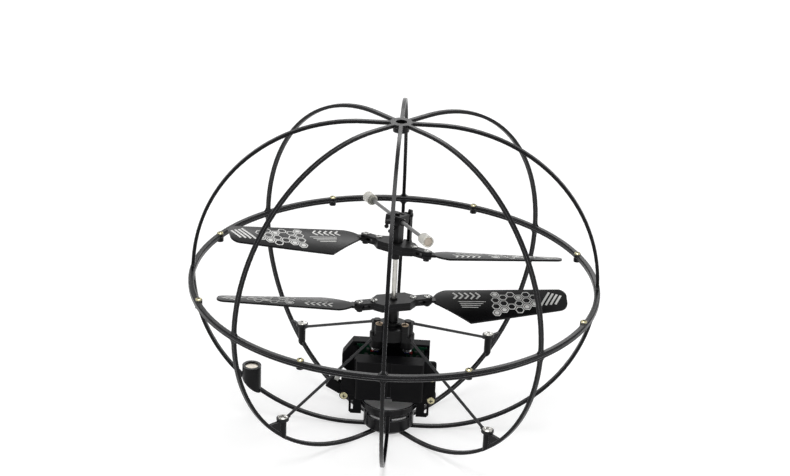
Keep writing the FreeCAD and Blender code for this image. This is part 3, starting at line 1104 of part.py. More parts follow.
def make_bracket(model, side, where):
    """A plate from a lower ear screw down to the holder, with a slit inside its outer edge."""
    out, base, top = "bracket_reach", "bracket_base", "ear_foot"
    corners = [(f"{out}", top), ("bracket_inner", top), ("bracket_inner", base),
               (f"{out} - bracket_border", base),
               (out, f"{base} + bracket_border")]
    slit = [(f"{out} - bracket_border", f"{base} + bracket_border * 1.6"),
            (f"{out} - bracket_border", f"{base} + bracket_border * 1.6 + bracket_slit_height"),
            (f"{out} - bracket_border - bracket_slit_width",
             f"{base} + bracket_border * 1.6 + bracket_slit_height"),
            (f"{out} - bracket_border - bracket_slit_width", f"{base} + bracket_border * 1.6")]
    if side == "left":
        corners, slit = mirrored(corners, 0), mirrored(slit, 0)
    back = f"({EAR_BACK} + bracket_thickness)"
    limit = model.cylinder(f"bracket_limit_{side}", "lip_radius + bracket_gap", "holder_height")
    if side == "left":
        arm = model.block(f"bracket_tab_{side}", (where[0], f"-{out} + bracket_border"), (EAR_BACK, back),
                          ("ear_foot - ear_boss_radius", "ear_foot"))
    else:
        arm = model.block(f"bracket_tab_{side}", (f"{out} - bracket_border", where[0]), (EAR_BACK, back),
                          ("ear_foot - ear_boss_radius", "ear_foot"))
    whole = model.fuse(f"bracket_whole_{side}", slab(model, f"bracket_leg_{side}", corners, EAR_BACK, back),
                       arm,
                       plug(model, f"bracket_eye_{side}", "ear_boss_radius", where, EAR_BACK, back))
    hole = plug(model, f"bracket_drill_{side}", "rim_screw_radius + screw_clearance", where, EAR_FRONT, "0")
    slot = slab(model, f"bracket_slit_{side}", slit, EAR_FRONT, "0")
    node = f"side_bracket_{side}"
    model.part(node, model.cut(node, whole, hole, limit, slot))


def make_switch(model):
    at = switch_frame(model)
    front, back = f"({EAR_BACK} + bracket_thickness)", f"({EAR_BACK} + bracket_thickness + switch_depth)"
    middle = f"({front} + switch_depth / 2)"
    reach = "(slider_length + slider_travel) / 2 + slider_gap"
    low, high = f"-({reach})", reach
    deep, face = "switch_height / 2 - 1.6", "switch_height / 2"
    slot = slab(model, "slider_slot",
                [at(low, deep), at(high, deep), at(high, "switch_height"), at(low, "switch_height")],
                f"({middle} - slider_width / 2 - slider_gap)", f"({middle} + slider_width / 2 + slider_gap)")
    model.part("switch_body", model.cut("switch_body", switch_block(model, "switch_blank"), slot))
    near, far = "-(slider_length + slider_travel) / 2", "(slider_length - slider_travel) / 2"
    foot = "switch_height / 2 - 1.5"
    nub = slab(model, "slider_nub", [at(near, foot), at(far, foot), at(far, f"{face} + slider_proud"),
                                     at(near, f"{face} + slider_proud")],
               f"({middle} - slider_width / 2)", f"({middle} + slider_width / 2)")
    model.part("switch_slider", nub)


def check(model):
    """Refuse anything that failed, is empty or is not a sound solid."""
    for item in model.document.Objects:
        if any(word in item.State for word in ("Invalid", "Error")):
            raise RuntimeError(f"{item.Name}: {item.State}")
    for item in model.parts:
        shape = item.Shape
        if shape.isNull() or not shape.isValid() or not shape.Solids:
            raise RuntimeError(f"{item.Label} is not a valid solid")


def main():
    model = Model("Helicopter", SIZES)
    for make in (make_cage_upper, make_cage_lower, make_cage_fittings, make_struts, make_gearbox,
                 make_motors,
                 make_wires, make_lower_rotor,
                 make_upper_rotor, make_frame, make_body):
        make(model)
    model.document.recompute()
    check(model)
    os.makedirs("parts", exist_ok=True)
    for item in model.parts:
        item.Shape.exportStep(os.path.join("parts", f"{item.Label}.step"))
        print(item.Label, len(item.Shape.Solids), round(item.Shape.Volume, 1))


main()
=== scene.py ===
"""Looks of a remote control helicopter in a round cage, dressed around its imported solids."""

from __future__ import annotations

import json
import logging
import math
from dataclasses import dataclass, field
from enum import Enum
from typing import Any, ClassVar, Iterable, Union

import bmesh
import bpy
from mathutils import Matrix, Vector

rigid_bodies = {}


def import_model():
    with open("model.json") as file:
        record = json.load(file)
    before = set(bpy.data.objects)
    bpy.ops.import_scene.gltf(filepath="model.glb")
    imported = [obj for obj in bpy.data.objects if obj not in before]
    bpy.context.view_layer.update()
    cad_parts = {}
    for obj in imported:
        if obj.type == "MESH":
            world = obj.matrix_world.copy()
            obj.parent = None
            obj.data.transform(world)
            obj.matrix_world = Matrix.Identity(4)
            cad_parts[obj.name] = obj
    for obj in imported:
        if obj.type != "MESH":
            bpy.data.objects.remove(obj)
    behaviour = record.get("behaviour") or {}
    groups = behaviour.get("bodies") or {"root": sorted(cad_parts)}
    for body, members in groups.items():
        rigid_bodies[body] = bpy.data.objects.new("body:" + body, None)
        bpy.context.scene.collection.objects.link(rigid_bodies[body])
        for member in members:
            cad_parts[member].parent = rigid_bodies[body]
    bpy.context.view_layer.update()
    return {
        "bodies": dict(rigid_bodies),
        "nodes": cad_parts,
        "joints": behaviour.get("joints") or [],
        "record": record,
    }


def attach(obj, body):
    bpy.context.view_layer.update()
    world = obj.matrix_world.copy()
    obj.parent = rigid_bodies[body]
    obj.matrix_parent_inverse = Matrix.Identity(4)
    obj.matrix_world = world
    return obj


LOG = logging.getLogger("helicopter")
MM = 0.001
UP = Vector((0.0, 0.0, 1.0))
Colour = tuple[float, float, float]
Value = Union["Signal", float]


class Signal:
    """A shader socket that takes part in Python arithmetic."""

    def __init__(self, graph: "Graph", socket: bpy.types.NodeSocket) -> None:
        """Wrap an output socket.

        Args:
            graph: The material graph that the socket belongs to.
            socket: The output socket.
        """
        self.graph = graph
        self.socket = socket

    def _math(self, operation: str, *values: Value) -> "Signal":
        """Add a Math node.

        Args:
            operation: The node's operation.
            values: What goes into its sockets.

        Returns:
            The node's output.
        """
        return self.graph.node("ShaderNodeMath", {"operation": operation}, dict(enumerate(values)))

    def __add__(self, other: Value) -> "Signal":
        """Sum of two values."""
        return self._math("ADD", self, other)

    def __rsub__(self, other: float) -> "Signal":
        """A number less this value."""
        return self._math("SUBTRACT", other, self)

    def __mul__(self, other: Value) -> "Signal":
        """Product of two values."""
        return self._math("MULTIPLY", self, other)

    def highest(self, other: "Signal") -> "Signal":
        """The greater of two values."""
        return self._math("MAXIMUM", self, other)

    def clamped(self) -> "Signal":
        """The value held between 0 and 1."""
        return self._math("MINIMUM", self._math("MAXIMUM", self, 0.0), 1.0)


class Graph:
    """The node tree of a material or of the world."""

    def __init__(self, owner: Union[bpy.types.Material, bpy.types.World]) -> None:
        """Empty the owner's node tree.

        Args:
            owner: The material or world.
        """
        owner.use_nodes = True
        self.owner = owner
        self.tree = owner.node_tree
        self.tree.nodes.clear()

    @classmethod
    def material(cls, name: str) -> "Graph":
        """Start an empty material.

        Args:
            name: The material's name.

        Returns:
            Its graph.
        """
        return cls(bpy.data.materials.new(name))

    def node(self, kind: str, settings: dict[str, Any], inputs: dict[Any, Any],
             output: Union[int, str, None] = 0) -> Union[Signal, None]:
        """Add a node, its settings first and then its sockets.

        Args:
            kind: The node's type.
            settings: Its properties.
            inputs: Values or links by socket name or number.
            output: The output wanted, by name or number, or None for a node without one.

        Returns:
            The chosen output, if any.
        """
        node = self.tree.nodes.new(kind)
        for key, value in settings.items():
            if key == "stops":
                self._stops(node.color_ramp, value)
            else:
                setattr(node, key, value)
        for key, value in inputs.items():
            if isinstance(value, Signal):
                self.tree.links.new(value.socket, node.inputs[key])
            else:
                node.inputs[key].default_value = value
        return None if output is None else Signal(self, node.outputs[output])

    @staticmethod
    def _stops(ramp: bpy.types.ColorRamp, stops: Iterable[tuple[float, float]]) -> None:
        """Set a grey ramp's stops.

        Args:
            ramp: The ramp.
            stops: Pairs of position and brightness.
        """
        pairs = list(stops)
        while len(ramp.elements) < len(pairs):
            ramp.elements.new(1.0)
        for element, (position, level) in zip(ramp.elements, pairs):
            element.position = position
            element.color = (level, level, level, 1.0)

    def place(self) -> Signal:
        """The point being shaded, in object coordinates."""
        return self.node("ShaderNodeTexCoord", {}, {}, "Object")

    def noise(self, scale: float, detail: float) -> Signal:
        """Noise over the object.

        Args:
            scale: Grains to a metre.
            detail: Octaves.

        Returns:
            The noise, about 0.5 on average.
        """
        sockets = {"Vector": self.place(), "Scale": scale, "Detail": detail, "Roughness": 0.55}
        return self.node("ShaderNodeTexNoise", {}, sockets, "Fac")

    @staticmethod
    def uneven(pattern: Signal, level: float, spread: float) -> Signal:
        """A level that varies with a pattern.

        Args:
            pattern: The pattern, from 0 to 1.
            level: The level at the pattern's middle.
            spread: The whole range of the level.

        Returns:
            The varying level, held between 0 and 1.
        """
        return (pattern * spread + (level - spread / 2)).clamped()

    def ramp(self, value: Signal, stops: Iterable[tuple[float, float]]) -> Signal:
        """Remap a value through a grey ramp.

        Args:
            value: The value.
            stops: Pairs of position and brightness.

        Returns:
            The remapped value.
        """
        return self.node("ShaderNodeValToRGB", {"stops": stops}, {"Fac": value}, "Color")

    def blend(self, factor: Signal, first: Union[Signal, Colour], second: Union[Signal, Colour]) -> Signal:
        """Mix two colours.

        Args:
            factor: 0 gives the first and 1 the second.
            first: The first colour.
            second: The second colour.

        Returns:
            The mixed colour.
        """
        node = self.tree.nodes.new("ShaderNodeMix")
        node.data_type = "RGBA"
        self.tree.links.new(factor.socket, node.inputs[0])
        for place, colour in ((6, first), (7, second)):
            if isinstance(colour, Signal):
                self.tree.links.new(colour.socket, node.inputs[place])
            else:
                node.inputs[place].default_value = (*colour, 1.0)
        return Signal(self, node.outputs[2])

    def backdrop_rays(self) -> Signal:
        """1 for a ray that sees the backdrop: straight, in a reflection or through glass."""
        kinds = ("Is Camera Ray", "Is Glossy Ray", "Is Transmission Ray")
        straight, mirrored, through = (self.node("ShaderNodeLightPath", {}, {}, kind) for kind in kinds)
        return straight.highest(mirrored).highest(through)

    def crevice(self, reach: float) -> Signal:
        """How open a place is: 0 in a narrow recess and 1 on an open face.

        Args:
            reach: How far a wall still counts, in metres.

        Returns:
            The openness.
        """
        settings = {"samples": 8, "only_local": True}
        return self.node("ShaderNodeAmbientOcclusion", settings, {"Distance": reach}, "AO")

    def rounded(self, radius: float) -> Signal:
        """A normal that rounds sharp edges over.

        Args:
            radius: The edge's radius, in metres.

        Returns:
            The rounded normal.
        """
        return self.node("ShaderNodeBevel", {"samples": 6}, {"Radius": radius}, "Normal")

    def painted_edge_highlight(self, radius: float) -> Signal:
        """How near a sharp edge a place is, as the mask of a painted highlight along edges: 0 on a flat face
        and about 1 on the edge.

        Args:
            radius: How far the painted highlight reaches, in metres.

        Returns:
            The nearness.
        """
        flat = self.node("ShaderNodeNewGeometry", {}, {}, "Normal")
        sockets = {0: self.rounded(radius), 1: flat}
        lean = self.node("ShaderNodeVectorMath", {"operation": "DOT_PRODUCT"}, sockets, "Value")
        return self.ramp(1.0 - lean, ((0.07, 0.0), (0.24, 1.0)))

    def bump(self, height: Signal, depth: float, strength: float, edge: float) -> Signal:
        """Raise the surface a little and round its edges.

        Args:
            height: The height pattern.
            depth: The full height, in metres.
            strength: How strongly it shows.
            edge: The edges' radius, in metres.

        Returns:
            The changed normal.
        """
        sockets = {"Height": height, "Distance": depth, "Strength": strength, "Normal": self.rounded(edge)}
        return self.node("ShaderNodeBump", {}, sockets, "Normal")

    def finish(self, sockets: dict[str, Any]) -> bpy.types.Material:
        """Close the material with one surface shader.

        Args:
            sockets: The shader's inputs.

        Returns:
            The material.
        """
        self.close(self.node("ShaderNodeBsdfPrincipled", {}, sockets, "BSDF"))
        return self.owner

    def close(self, surface: Signal, kind: str = "ShaderNodeOutputMaterial") -> None:
        """Send a shader to the tree's output.

        Args:
            surface: The shader.
            kind: The output node's type.
        """
        self.node(kind, {}, {"Surface": surface}, None)


@dataclass(frozen=True)
class MouldedPlastic:
    """Injection-moulded plastic with a fine spark-eroded grain."""

    name: str
    colour: Colour
    wear: Colour
    roughness: float = 0.42
    grain: float = 0.02 * MM
    specular: float = 0.4
    edge: float = 0.25 * MM
    # Colour of a painted highlight along sharp edges, standing in for reflections on rounded edges; None
    # paints none.
    edge_highlight: Colour | None = None
    flow_marks: ClassVar[float] = 55.0
    grains: ClassVar[float] = 3800.0
    gloss_spread: ClassVar[float] = 0.14
    grain_strength: ClassVar[float] = 0.35

    def material(self) -> bpy.types.Material:
        """Build the finish.

        Returns:
            The material.
        """
        graph = Graph.material(self.name)
        flow = graph.noise(self.flow_marks, 4.0)
        fine = graph.noise(self.grains, 2.0)
        tint = graph.ramp(flow, ((0.35, 0.0), (0.75, 1.0)))
        skin = graph.blend(tint, self.colour, self.wear)
        # Painted highlight: sharp edges are lightened towards a pale colour, standing in for lamp and floor
        # reflections.
        if self.edge_highlight:
            skin = graph.blend(graph.painted_edge_highlight(self.edge), skin, self.edge_highlight)
        return graph.finish({
            "Base Color": skin,
            "Roughness": graph.uneven(flow, self.roughness, self.gloss_spread),
            "Specular IOR Level": self.specular,
            "Normal": graph.bump(fine, self.grain, self.grain_strength, self.edge),
        })


@dataclass(frozen=True)
class TurnedMetal:
    """Machined or plated metal with faint tool marks and painted shade in its recesses."""

    name: str
    colour: Colour
    shade: Colour
    roughness: float = 0.28
    metallic: float = 1.0
    # Colour of the painted shade that darkens recesses and gaps, as far as the reach below.
    recess: Colour = (0.02, 0.018, 0.012)
    reach: float = 0.5 * MM
    clouds: ClassVar[float] = 420.0
    tool_marks: ClassVar[float] = 5200.0
    gloss_spread: ClassVar[float] = 0.16
    mark_depth: ClassVar[float] = 0.01 * MM
    mark_strength: ClassVar[float] = 0.25
    edge: ClassVar[float] = 0.12 * MM

    def material(self) -> bpy.types.Material:
        """Build the finish.

        Returns:
            The material.
        """
        graph = Graph.material(self.name)
        cloud = graph.noise(self.clouds, 3.0)
        fine = graph.noise(self.tool_marks, 2.0)
        # Painted shade: places hemmed in by nearby walls are darkened towards the recess colour.
        unshaded = graph.ramp(graph.crevice(self.reach), ((0.62, 0.0), (0.86, 1.0)))
        return graph.finish({
            "Base Color": graph.blend(unshaded, self.recess, graph.blend(cloud, self.shade, self.colour)),
            "Metallic": self.metallic,
            "Roughness": graph.uneven(cloud, self.roughness, self.gloss_spread),
            "Normal": graph.bump(fine, self.mark_depth, self.mark_strength, self.edge),
        })


@dataclass(frozen=True)
class ClearPlastic:
    """Clear soft plastic with a faint haze, through which what it holds shows."""

    name: str
    colour: Colour
    haze: Colour
    roughness: float
    passing: float
    clouds: ClassVar[float] = 260.0
    ripples: ClassVar[float] = 3000.0
    gloss_spread: ClassVar[float] = 0.1
    ripple_depth: ClassVar[float] = 0.01 * MM
    ripple_strength: ClassVar[float] = 0.2
    edge: ClassVar[float] = 0.3 * MM
    bending: ClassVar[float] = 1.42

    def material(self) -> bpy.types.Material:
        """Build the finish.

        Returns:
            The material.
        """
        graph = Graph.material(self.name)
        cloud = graph.noise(self.clouds, 3.0)
        fine = graph.noise(self.ripples, 2.0)
        return graph.finish({
            "Base Color": graph.blend(cloud, self.haze, self.colour),
            "Roughness": graph.uneven(cloud, self.roughness, self.gloss_spread),
            "IOR": self.bending,
            "Transmission Weight": self.passing,
            "Normal": graph.bump(fine, self.ripple_depth, self.ripple_strength, self.edge),
        })


@dataclass(frozen=True)
class Ink:
    """Flat opaque printing ink."""

    name: str
    colour: Colour
    specks: ClassVar[float] = 2600.0
    fading: ClassVar[float] = 0.82

    def material(self) -> bpy.types.Material:
        """Build the finish.

        Returns:
            The material.
        """
        graph = Graph.material(self.name)
        speckle = graph.noise(self.specks, 3.0)
        worn = tuple(part * self.fading for part in self.colour)
        return graph.finish({
            "Base Color": graph.blend(speckle, worn, self.colour),
            "Roughness": 0.55,
            "Specular IOR Level": 0.3,
        })


class Finish(Enum):
    """The finishes that the pieces wear."""

    # The pale edge colours of CAGE, COVER, HUB and BLADE are painted highlights along sharp edges, strongest
    # on the cage.
    CAGE = MouldedPlastic("satin_black_cage", (0.002, 0.002, 0.0025), (0.005, 0.005, 0.006),
                          roughness=0.27, grain=0.01 * MM, specular=0.17, edge=0.45 * MM,
                          edge_highlight=(0.2, 0.2, 0.21))
    BODY = MouldedPlastic("satin_black_body", (0.0022, 0.0022, 0.0026), (0.005, 0.005, 0.0055),
                          specular=0.07)
    COVER = MouldedPlastic("grained_black_cover", (0.0025, 0.0025, 0.003), (0.006, 0.006, 0.0065),
                           roughness=0.46, grain=0.04 * MM, specular=0.07, edge=0.4 * MM,
                           edge_highlight=(0.03, 0.03, 0.033))
    HUB = MouldedPlastic("satin_black_hub", (0.004, 0.004, 0.004), (0.009, 0.009, 0.01), roughness=0.36,
                         specular=0.14, edge=0.3 * MM, edge_highlight=(0.04, 0.04, 0.042))
    BLADE = MouldedPlastic("dark_blade_plastic", (0.002, 0.002, 0.0022), (0.005, 0.005, 0.0055),
                           roughness=0.28, grain=0.01 * MM, specular=0.11, edge=0.2 * MM,
                           edge_highlight=(0.05, 0.05, 0.052))
    ROD = MouldedPlastic("black_rod", (0.006, 0.006, 0.007), (0.012, 0.012, 0.013), roughness=0.32,
                         grain=0.01 * MM, specular=0.2)
    SLEEVE = MouldedPlastic("dark_bearing", (0.006, 0.006, 0.006), (0.012, 0.012, 0.012), roughness=0.4,
                            grain=0.01 * MM, specular=0.2)
    NYLON = MouldedPlastic("natural_nylon", (0.72, 0.71, 0.64), (0.8, 0.79, 0.74), roughness=0.4)
    BUSH = MouldedPlastic("grey_bush", (0.18, 0.18, 0.155), (0.3, 0.3, 0.27), roughness=0.35)
    SLIDER = MouldedPlastic("white_slider", (0.66, 0.66, 0.62), (0.74, 0.74, 0.7), roughness=0.4)
    BOARD = MouldedPlastic("green_solder_mask", (0.003, 0.035, 0.016), (0.008, 0.1, 0.045), roughness=0.3)
    CHIP = MouldedPlastic("moulded_chip", (0.012, 0.012, 0.012), (0.2, 0.2, 0.19), roughness=0.35)
    FOIL = MouldedPlastic("battery_wrap", (0.3, 0.31, 0.33), (0.4, 0.41, 0.43), roughness=0.35)
    RED_WIRE = MouldedPlastic("red_insulation", (0.12, 0.006, 0.008), (0.24, 0.015, 0.016), roughness=0.36)
    BLUE_WIRE = MouldedPlastic("blue_insulation", (0.006, 0.01, 0.08), (0.012, 0.02, 0.14), roughness=0.36)
    WEIGHT = ClearPlastic("clear_sleeve", (0.97, 0.96, 0.91), (0.92, 0.9, 0.82), roughness=0.16, passing=0.45)
    # The recess colours of the metals below are painted shade in their recesses and gaps.
    PLUG = TurnedMetal("weight_plug", (0.5, 0.45, 0.39), (0.34, 0.29, 0.24), roughness=0.42, metallic=0.9,
                       recess=(0.05, 0.035, 0.02), reach=0.4 * MM)
    BRASS = TurnedMetal("brass_plated_screw", (0.6, 0.56, 0.38), (0.4, 0.36, 0.2), roughness=0.26,
                        recess=(0.012, 0.011, 0.006), reach=0.9 * MM)
    GEARBOX_SCREW = TurnedMetal("dull_brass_screw", (0.5, 0.44, 0.33), (0.34, 0.2, 0.12), roughness=0.3,
                                recess=(0.01, 0.008, 0.005), reach=0.9 * MM)
    SILVER = TurnedMetal("plated_hub_screw", (0.56, 0.56, 0.54), (0.32, 0.32, 0.31),
                         recess=(0.02, 0.02, 0.02), reach=0.8 * MM)
    STRUT_SCREW = TurnedMetal("bright_strut_screw", (0.8, 0.79, 0.75), (0.52, 0.51, 0.48), roughness=0.26,
                              recess=(0.03, 0.028, 0.025), reach=0.9 * MM)
    SHAFT = TurnedMetal("ground_shaft", (0.62, 0.61, 0.57), (0.44, 0.43, 0.4), roughness=0.3)
    FLYBAR = TurnedMetal("grey_flybar_rod", (0.24, 0.24, 0.24), (0.15, 0.15, 0.15),
                         roughness=0.36, metallic=0.7)
    CAN = TurnedMetal("motor_can", (0.88, 0.88, 0.88), (0.7, 0.7, 0.7),
                      roughness=0.24, recess=(0.5, 0.5, 0.5))
    BALLAST = TurnedMetal("knurled_ballast", (0.92, 0.92, 0.92), (0.74, 0.74, 0.74), roughness=0.42,
                          metallic=0.5, recess=(0.3, 0.3, 0.3), reach=0.2 * MM)
    TRIM_WEIGHT = TurnedMetal("trim_weight", (0.72, 0.67, 0.6), (0.5, 0.46, 0.4), roughness=0.42)
    INK = Ink("white_print", (0.78, 0.78, 0.76))


class Wardrobe:
    """Builds each finish once and hands it out."""

    def __init__(self) -> None:
        """Start with nothing built."""
        self._built: dict[Finish, bpy.types.Material] = {}

    def get(self, finish: Finish) -> bpy.types.Material:
        """Give a finish's material, built on first use.

        Args:
            finish: The finish.

        Returns:
            Its material.
        """
        if finish not in self._built:
            self._built[finish] = finish.value.material()
        return self._built[finish]

    def dress(self, piece: bpy.types.Object, finish: Finish) -> None:
        """Put one finish all over a piece.

        Args:
            piece: The mesh object.
            finish: The finish.
        """
        piece.data.materials.clear()
        piece.data.materials.append(self.get(finish))


@dataclass
class SolidPieces:
    """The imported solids, which keep their shapes and get better finishes."""

    frame: dict[str, Any]
    wardrobe: Wardrobe
    finishes: dict[Finish, tuple[str, ...]] = field(default_factory=lambda: {
        Finish.CAGE: ("cage_upper", "cage_lower"),
        Finish.BRASS: ("cage_screws", "cover_screws", "pinion_left", "pinion_right"),
        Finish.GEARBOX_SCREW: ("gearbox_screws",),
        Finish.TRIM_WEIGHT: ("trim_weight",),
        Finish.BALLAST: ("ballast_disc",),
        Finish.ROD: ("strut_right_back", "strut_left_back", "strut_left_front", "strut_right_front"),
        Finish.SLEEVE: ("inner_bearing", "outer_bearing", "outer_shaft"),
        Finish.RED_WIRE: ("motor_wires_red",),
        Finish.BLUE_WIRE: ("motor_wires_blue",),
        Finish.STRUT_SCREW: ("strut_screws",),
        Finish.SILVER: ("lower_hub_screws", "lower_blade_screws", "upper_hub_screws",
                        "upper_blade_screws", "hub_pin", "flybar_pin"),
        Finish.HUB: ("gearbox_lower", "gearbox_cap", "lower_hub_bottom", "lower_hub_top", "upper_grip_bottom",
                     "upper_grip_top", "rotor_mast", "flybar_hub", "push_link"),
        Finish.WEIGHT: ("flybar_weights",),
        Finish.FLYBAR: ("flybar_rods",),
        Finish.CAN: ("motor_left", "motor_right"),
        Finish.SHAFT: ("motor_shaft_left", "motor_shaft_right", "inner_shaft"),
        Finish.NYLON: ("outer_gear", "inner_gear"),
        Finish.BLADE: ("lower_blade_left", "lower_blade_right", "upper_blade_left", "upper_blade_right"),
        Finish.BUSH: ("flybar_collars",),
        Finish.BODY: ("main_frame", "side_bracket_left", "side_bracket_right", "switch_body"),
        Finish.COVER: ("battery_cover", "rear_cover"),
        Finish.FOIL: ("battery",),
        Finish.BOARD: ("circuit_board",),
        Finish.CHIP: ("board_components",),
        Finish.SLIDER: ("switch_slider",),
    })

    def build(self) -> None:
        """Dress every solid."""
        for finish, names in self.finishes.items():
            for name in names:
                self.wardrobe.dress(self.frame["nodes"][name], finish)
                LOG.info("dressed %s", name)


class Side(Enum):
    """The two ends of a rotor hub."""

    RIGHT = 0.0
    LEFT = 180.0


def turn(degrees: float, axis: str) -> Matrix:
    """A turn about a main axis.

    Args:
        degrees: The angle.
        axis: X, Y or Z.

    Returns:
        The rotation.
    """
    return Matrix.Rotation(math.radians(degrees), 4, axis)


@dataclass(frozen=True)
class Hub:
    """How a rotor hub stands on the shafts and how its blades are set, with angles in degrees."""

    height: float
    heading: float
    tilt: float
    pitch: float
    sense: int
    blade_length: float

    def stance(self) -> Matrix:
        """The hub's turn about the shafts and its tilt.

        Returns:
            The rotation.
        """
        return turn(self.heading, "Z") @ turn(self.tilt, "X")


LOWER_HUB = Hub(height=61.7 * MM, heading=17.5, tilt=0.0, pitch=12.5, sense=1, blade_length=61.7 * MM)
UPPER_HUB = Hub(height=88.9 * MM, heading=-28.0, tilt=-9.0, pitch=8.5, sense=-1, blade_length=60.4 * MM)


@dataclass(frozen=True)
class BladeSeat:
    """Where one blade sits, and how far it has swung on its screw, in degrees."""

    node: str
    body: str
    hub: Hub
    side: Side
    swing: float

    def matrix(self, pivot: float) -> Matrix:
        """Place the blade's own frame in the part's frame.

        Args:
            pivot: Distance of the blade's pivot from the shaft.

        Returns:
            The transform from the blade's frame.
        """
        end = turn(self.hub.heading + self.side.value, "Z") @ Vector((pivot, 0.0, 0.0))
        own = turn(self.swing + self.side.value, "Z") @ turn(self.hub.sense * self.hub.pitch, "X")
        return Matrix.Translation(end + UP * self.hub.height) @ self.hub.stance() @ own


@dataclass
class BladePrints:
    """White print on the tops of the blades: a honeycomb, chevrons, bars and thin lines.

    The first fields are the blade's own sizes, which the print follows. The print is laid out flat in
    millimetres, outwards from the blade's pivot and towards the leading edge.
    """

    wardrobe: Wardrobe
    pivot: float = 15.2 * MM
    bend: float = 64.0 * MM
    lead: float = 7.0 * MM
    trail: float = 14.2 * MM
    thickness: float = 0.8 * MM
    margin: float = 2.0 * MM
    rise: float = 0.1 * MM
    start: float = 2.4 * MM
    twist: float = 9.0
    lift: float = 0.03 * MM
    film: float = 0.03 * MM
    comb_start: tuple[float, float] = (30.0, 3.4)
    comb_step: tuple[float, float] = (3.4, 3.94)
    comb_reach: float = 9.4
    comb_taper: float = 0.5
    cell_radius: float = 2.05
    fine_line: float = 0.42
    dot_radius: float = 1.15
    bar_start: tuple[float, float] = (52.0, 0.6)
    bar_step: tuple[float, float] = (1.9, -0.2)
    bar_size: tuple[float, float] = (9.6, 0.95)
    bar_shrink: float = 1.1
    bar_slant: float = 62.0
    chevron_start: tuple[float, float] = (12.5, 2.5)
    chevron_step: float = 2.5
    chevron_size: tuple[float, float] = (2.9, 0.8)
    chevron_half: float = 1.15
    chevron_slant: float = 52.0
    line_start: tuple[float, float] = (19.6, -1.6)
    line_step: tuple[float, float] = (-0.4, -1.25)
    line_length: float = 12.0
    line_shrink: float = 1.6
    seats: tuple[BladeSeat, ...] = (
        BladeSeat("lower_blade_right", "lower_right_blade", LOWER_HUB, Side.RIGHT, -10.9),
        BladeSeat("lower_blade_left", "lower_left_blade", LOWER_HUB, Side.LEFT, -17.2),
        BladeSeat("upper_blade_right", "upper_right_blade", UPPER_HUB, Side.RIGHT, 46.0),
        BladeSeat("upper_blade_left", "upper_left_blade", UPPER_HUB, Side.LEFT, 48.0),
    )

    def surface(self, chord: float) -> float:
        """Height of the blade's top at a place across it.

        Args:
            chord: Distance towards the leading edge.

        Returns:
            The height above the blade's root plane.
        """
        middle = (self.lead - self.trail) / 2
        half = (self.lead + self.trail) / 2 + self.margin
        edge = math.sqrt(self.bend ** 2 - half ** 2)
        crown = math.sqrt(self.bend ** 2 - (chord - middle) ** 2) - edge
        return crown - (self.bend - edge - self.rise) + self.thickness / 2

    def twisted(self, place: Vector, hub: Hub) -> Vector:
        """Lift a place of the flat print onto the cambered, twisted blade.

        Args:
            place: The place in the flat print.
            hub: The hub that carries the blade.

        Returns:
            The place just over the blade.
        """
        near = Vector((place.x, place.y, self.surface(place.y * hub.sense) + self.lift))
        far = turn(hub.sense * self.twist, "X") @ near
        return near.lerp(far, (place.x - self.start) / (hub.blade_length + self.margin - self.start))

    @staticmethod
    def disc(mesh: bmesh.types.BMesh, centre: tuple[float, float], radius: float) -> bmesh.types.BMFace:
        """Add a filled hexagon.

        Args:
            mesh: The mesh to add to.
            centre: Its middle, in millimetres.
            radius: Its radius, in millimetres.

        Returns:
            Its face.
        """
        place = Matrix.Translation((centre[0] * MM, centre[1] * MM, 0.0)) @ turn(30.0, "Z")
        made = bmesh.ops.create_circle(mesh, cap_ends=True, segments=6, radius=radius * MM, matrix=place)
        return made["verts"][0].link_faces[0]

    def ring(self, mesh: bmesh.types.BMesh, centre: tuple[float, float]) -> None:
        """Add the outline of one cell of the honeycomb.

        Args:
            mesh: The mesh to add to.
            centre: Its middle, in millimetres.
        """
        face = self.disc(mesh, centre, self.cell_radius)
        bmesh.ops.inset_region(mesh, faces=[face], thickness=self.fine_line * MM,
                               use_even_offset=True, use_boundary=True)
        bmesh.ops.delete(mesh, geom=[face], context="FACES")

    @staticmethod
    def bar(mesh: bmesh.types.BMesh, centre: tuple[float, float], size: tuple[float, float],
            slant: float) -> None:
        """Add a filled bar.

        Args:
            mesh: The mesh to add to.
            centre: Its middle, in millimetres.
            size: Its length and width, in millimetres.
            slant: Its turn, in degrees.
        """
        shape = Matrix.Diagonal((size[0] * MM, size[1] * MM, 1.0, 1.0))
        place = Matrix.Translation((centre[0] * MM, centre[1] * MM, 0.0)) @ turn(slant, "Z") @ shape
        bmesh.ops.create_grid(mesh, x_segments=1, y_segments=1, size=0.5, matrix=place)

    @staticmethod
    def spaced(start: tuple[float, float], step: tuple[float, float], count: int) -> tuple[float, float]:
        """Find a place some steps on from a start.

        Args:
            start: The first place.
            step: The step from one place to the next.
            count: How many steps.

        Returns:
            The place.
        """
        return start[0] + step[0] * count, start[1] + step[1] * count

    def honeycomb(self, mesh: bmesh.types.BMesh, sense: int) -> None:
        """Draw the honeycomb, with a few cells left out and a few filled.

        Args:
            mesh: The mesh to add to.
            sense: 1 or -1, the side that the leading edge is on.
        """
        (along, across), (column_step, row_step) = self.comb_start, self.comb_step
        for column in range(6):
            for row in range(4):
                level = across - row_step * (row + column % 2 / 2)
                if abs(level) > self.comb_reach - self.comb_taper * column or (2 * column + row) % 7 == 5:
                    continue
                place = (along + column_step * column, level * sense)
                self.ring(mesh, place)
                if (column + row) % 3 == 0:
                    self.disc(mesh, place, self.dot_radius)

